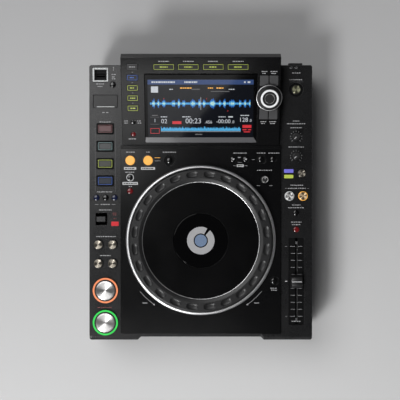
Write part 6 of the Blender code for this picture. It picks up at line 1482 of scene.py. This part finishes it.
# %% Screen helpers
def digits(work, body, x, v, tall):
    """Adds digits as thin blocks: a text object that is turned into a mesh."""
    curve = bpy.data.curves.new("digits", "FONT")
    curve.body = body
    curve.size = tall / 0.7
    curve.align_x = "CENTER"
    curve.align_y = "CENTER"
    curve.extrude = INK_HEIGHT / 2
    curve.resolution_u = 3
    letters = bpy.data.objects.new("digits", curve)
    bpy.context.scene.collection.objects.link(letters)
    graph = bpy.context.evaluated_depsgraph_get()
    mesh = bpy.data.meshes.new_from_object(letters.evaluated_get(graph))
    mesh.transform(Matrix.Translation((x, v, GLASS_TOP + INK_HEIGHT / 2)))
    work.from_mesh(mesh)
    bpy.data.objects.remove(letters)
    bpy.data.meshes.remove(mesh)
    bpy.data.curves.remove(curve)


def screen_marks(name, material, marks, level=GLASS_TOP):
    """Marks on the screen, which leans with the hood."""
    return sheet(name, material, level, marks=marks, flow=HOOD_LAY)


print("screen helpers ready")

# %% Waveform
WAVE_LEFT = -71.0
WAVE_RIGHT = 70.0
WAVE_PITCH = 0.75
WAVE_MIDDLE = 59.8
BEAT_LENGTH = 9.4
WAVE_BAR = 0.62
# Each layer of the wave: its finish, how tall, how much less, from which loudness, and its level.
WAVE_LAYERS = (("wave_blue", SCREEN_BLUE, 15.0, 0.0, 0.0, GLASS_TOP),
               ("wave_cyan", SCREEN_CYAN, 9.0, 0.0, 0.0, GLASS_TOP + 0.04),
               ("wave_pale", SCREEN_PALE, 12.5, 5.5, 0.5, GLASS_TOP + 0.08))
STRIP_LOW = 20.9
STRIP_LEFT = -56.0
STRIP_PITCH = 0.8
STRIP_TALL = 6.4


def loudness(x):
    """How loud the made-up tune is at a place: beats of uneven length, with a slow swell."""
    beat = max(math.sin(2 * math.pi * (x - WAVE_LEFT) / BEAT_LENGTH + 1.6 * math.sin(x * 0.21)), 0.0)
    swell = 0.80 + 0.20 * math.sin(x * 0.39 + 1.1)
    ripple = 0.80 + 0.20 * math.sin(x * 3.9) * math.sin(x * 1.7 + 0.6)
    return ripple * (0.28 + 0.80 * swell * math.sqrt(beat))


wave_count = int((WAVE_RIGHT - WAVE_LEFT) / WAVE_PITCH)
wave_places = [WAVE_LEFT + WAVE_PITCH * step for step in range(wave_count)]
for name, material, tall, less, least, level in WAVE_LAYERS:
    heights = [(x, tall * loudness(x) - less) for x in wave_places if loudness(x) > least]
    screen_marks(name, material, [(x, WAVE_MIDDLE, WAVE_BAR, height) for x, height in heights], level)
strip = []
for x in (STRIP_LEFT + STRIP_PITCH * step for step in range(141)):
    height = STRIP_TALL * (0.45 + 0.55 * loudness(3.1 * x))
    strip.append((x, STRIP_LOW + height / 2, 0.7, height))
screen_marks("strip_blue", SCREEN_CYAN, strip)
print(len(wave_places), "bars in the waveform")

# %% Digits of the screen
work = bmesh.new()
for body, x, v, tall in (("02", -51.6, 34.5, 6.2), ("1", -64.7, 35.5, 5.0), ("00:23", -10.4, 34.8, 7.2),
                         (".456", 10.8, 33.4, 4.4), ("-00:00", 32.0, 34.4, 5.6), (".0", 45.4, 33.6, 4.0),
                         ("128", 60.4, 36.6, 6.0), (".0", 70.0, 35.6, 3.8)):
    digits(work, body, x, v, tall)
words(work, ((-41.6, 79.8, 5), (43, 79.8, 8), (-52, 41, 9), (-20, 41, 12), (30, 41, 10), (62, 43, 12)),
      GLASS_TOP, 1.3)
for x, v, length, tall in ((0.0, 19.9, 113.0, 0.4), (-64.7, 79.5, 10.0, 8.6), (42.0, 41.0, 6.5, 1.8)):
    mark(work, (x, v), (length, tall), GLASS_TOP)
settle("screen_white", work, SCREEN_WHITE, HOUSING, flow=HOOD_LAY)
print("digits ready")

# %% Bars of the screen
screen_marks("screen_back", SCREEN_BACK, [(-0.3, 52.7, 148.4, 82.2)], GLASS_TOP - 0.035)
screen_marks("screen_header", SCREEN_HEADER, [(-0.3, 89.8, 148.0, 6.6)])
sheet("screen_title", SCREEN_WHITE, GLASS_TOP + INK_HEIGHT,
      ((-52.0, 89.8, 34), (-14.0, 89.8, 18), (61.8, 89.8, 3), (67.8, 89.8, 5)), flow=HOOD_LAY, tall=2.2)
sheet("screen_orange", AMBER_LIGHT, GLASS_TOP, ((-21, 81.6, 16), (13.5, 81.6, 7), (27.5, 81.6, 11)),
      flow=HOOD_LAY, tall=1.5)
screen_marks("screen_red", RED_LIGHT, (
    (-33.7, 32.8, 12.6, 4.0), (65.3, 27.3, 12.6, 4.2), (62.0, 22.6, 5.6, 1.6), (69.0, 22.6, 4.6, 1.6),
    (65.3, 19.6, 9.0, 1.4), (-64.7, 24.4, 12.6, 0.5), (-64.7, 17.4, 12.6, 0.5), (-70.8, 20.9, 0.5, 7.5),
    (-58.6, 20.9, 0.5, 7.5), (-52.0, 66.7, 0.7, 1.6), (8.0, 66.7, 0.7, 1.6), (38.0, 49.5, 0.7, 1.6)))
screen_marks("screen_grey", DIM_INK, (
    (-7.0, 79.8, 12.0, 1.4), (27.0, 76.8, 26.0, 1.2), (-3.0, 16.0, 10.0, 1.3), (-64.7, 40.6, 12.6, 0.5),
    (-64.7, 30.6, 12.6, 0.5), (-64.7, 43.0, 8.0, 1.2)))
screen_marks("screen_middle_line", SCREEN_WHITE, [(0.0, WAVE_MIDDLE, 0.5, 17.5)], GLASS_TOP + 0.13)
print("screen ready")

# %% [markdown]
# ## The CAD pieces that stay in sight
# Pieces low down or inside keep the CAD mesh. No view shows them closely, so only their finish is
# set: painted sheet steel, bare steel, black plastic and rubber.

# %% Finishes of kept pieces
KEPT = ((SHEET_PAINT, ("bottom_tray", "rear_panel", "main_board", "power_board")),
        (DARK_PLASTIC, ("power_inlet", "usb_port", "card_slot", "jog_pillar", "lcd_module",
                        "drive_spindle")),
        (BRIGHT_METAL, ("audio_sockets", "data_sockets", "selector_shaft")),
        (SHEET_METAL, ("drive_chassis", "drive_cover", "fader_body")),
        (FOOT_RUBBER, ("loading_roller",)),
        (KEY_PLASTIC, ("power_button",)))
for material, nodes in KEPT:
    for node in nodes:
        kept = bpy.data.objects[node]
        kept.data.materials.clear()
        kept.data.materials.append(material)
print(sum(len(nodes) for _, nodes in KEPT), "kept pieces finished")
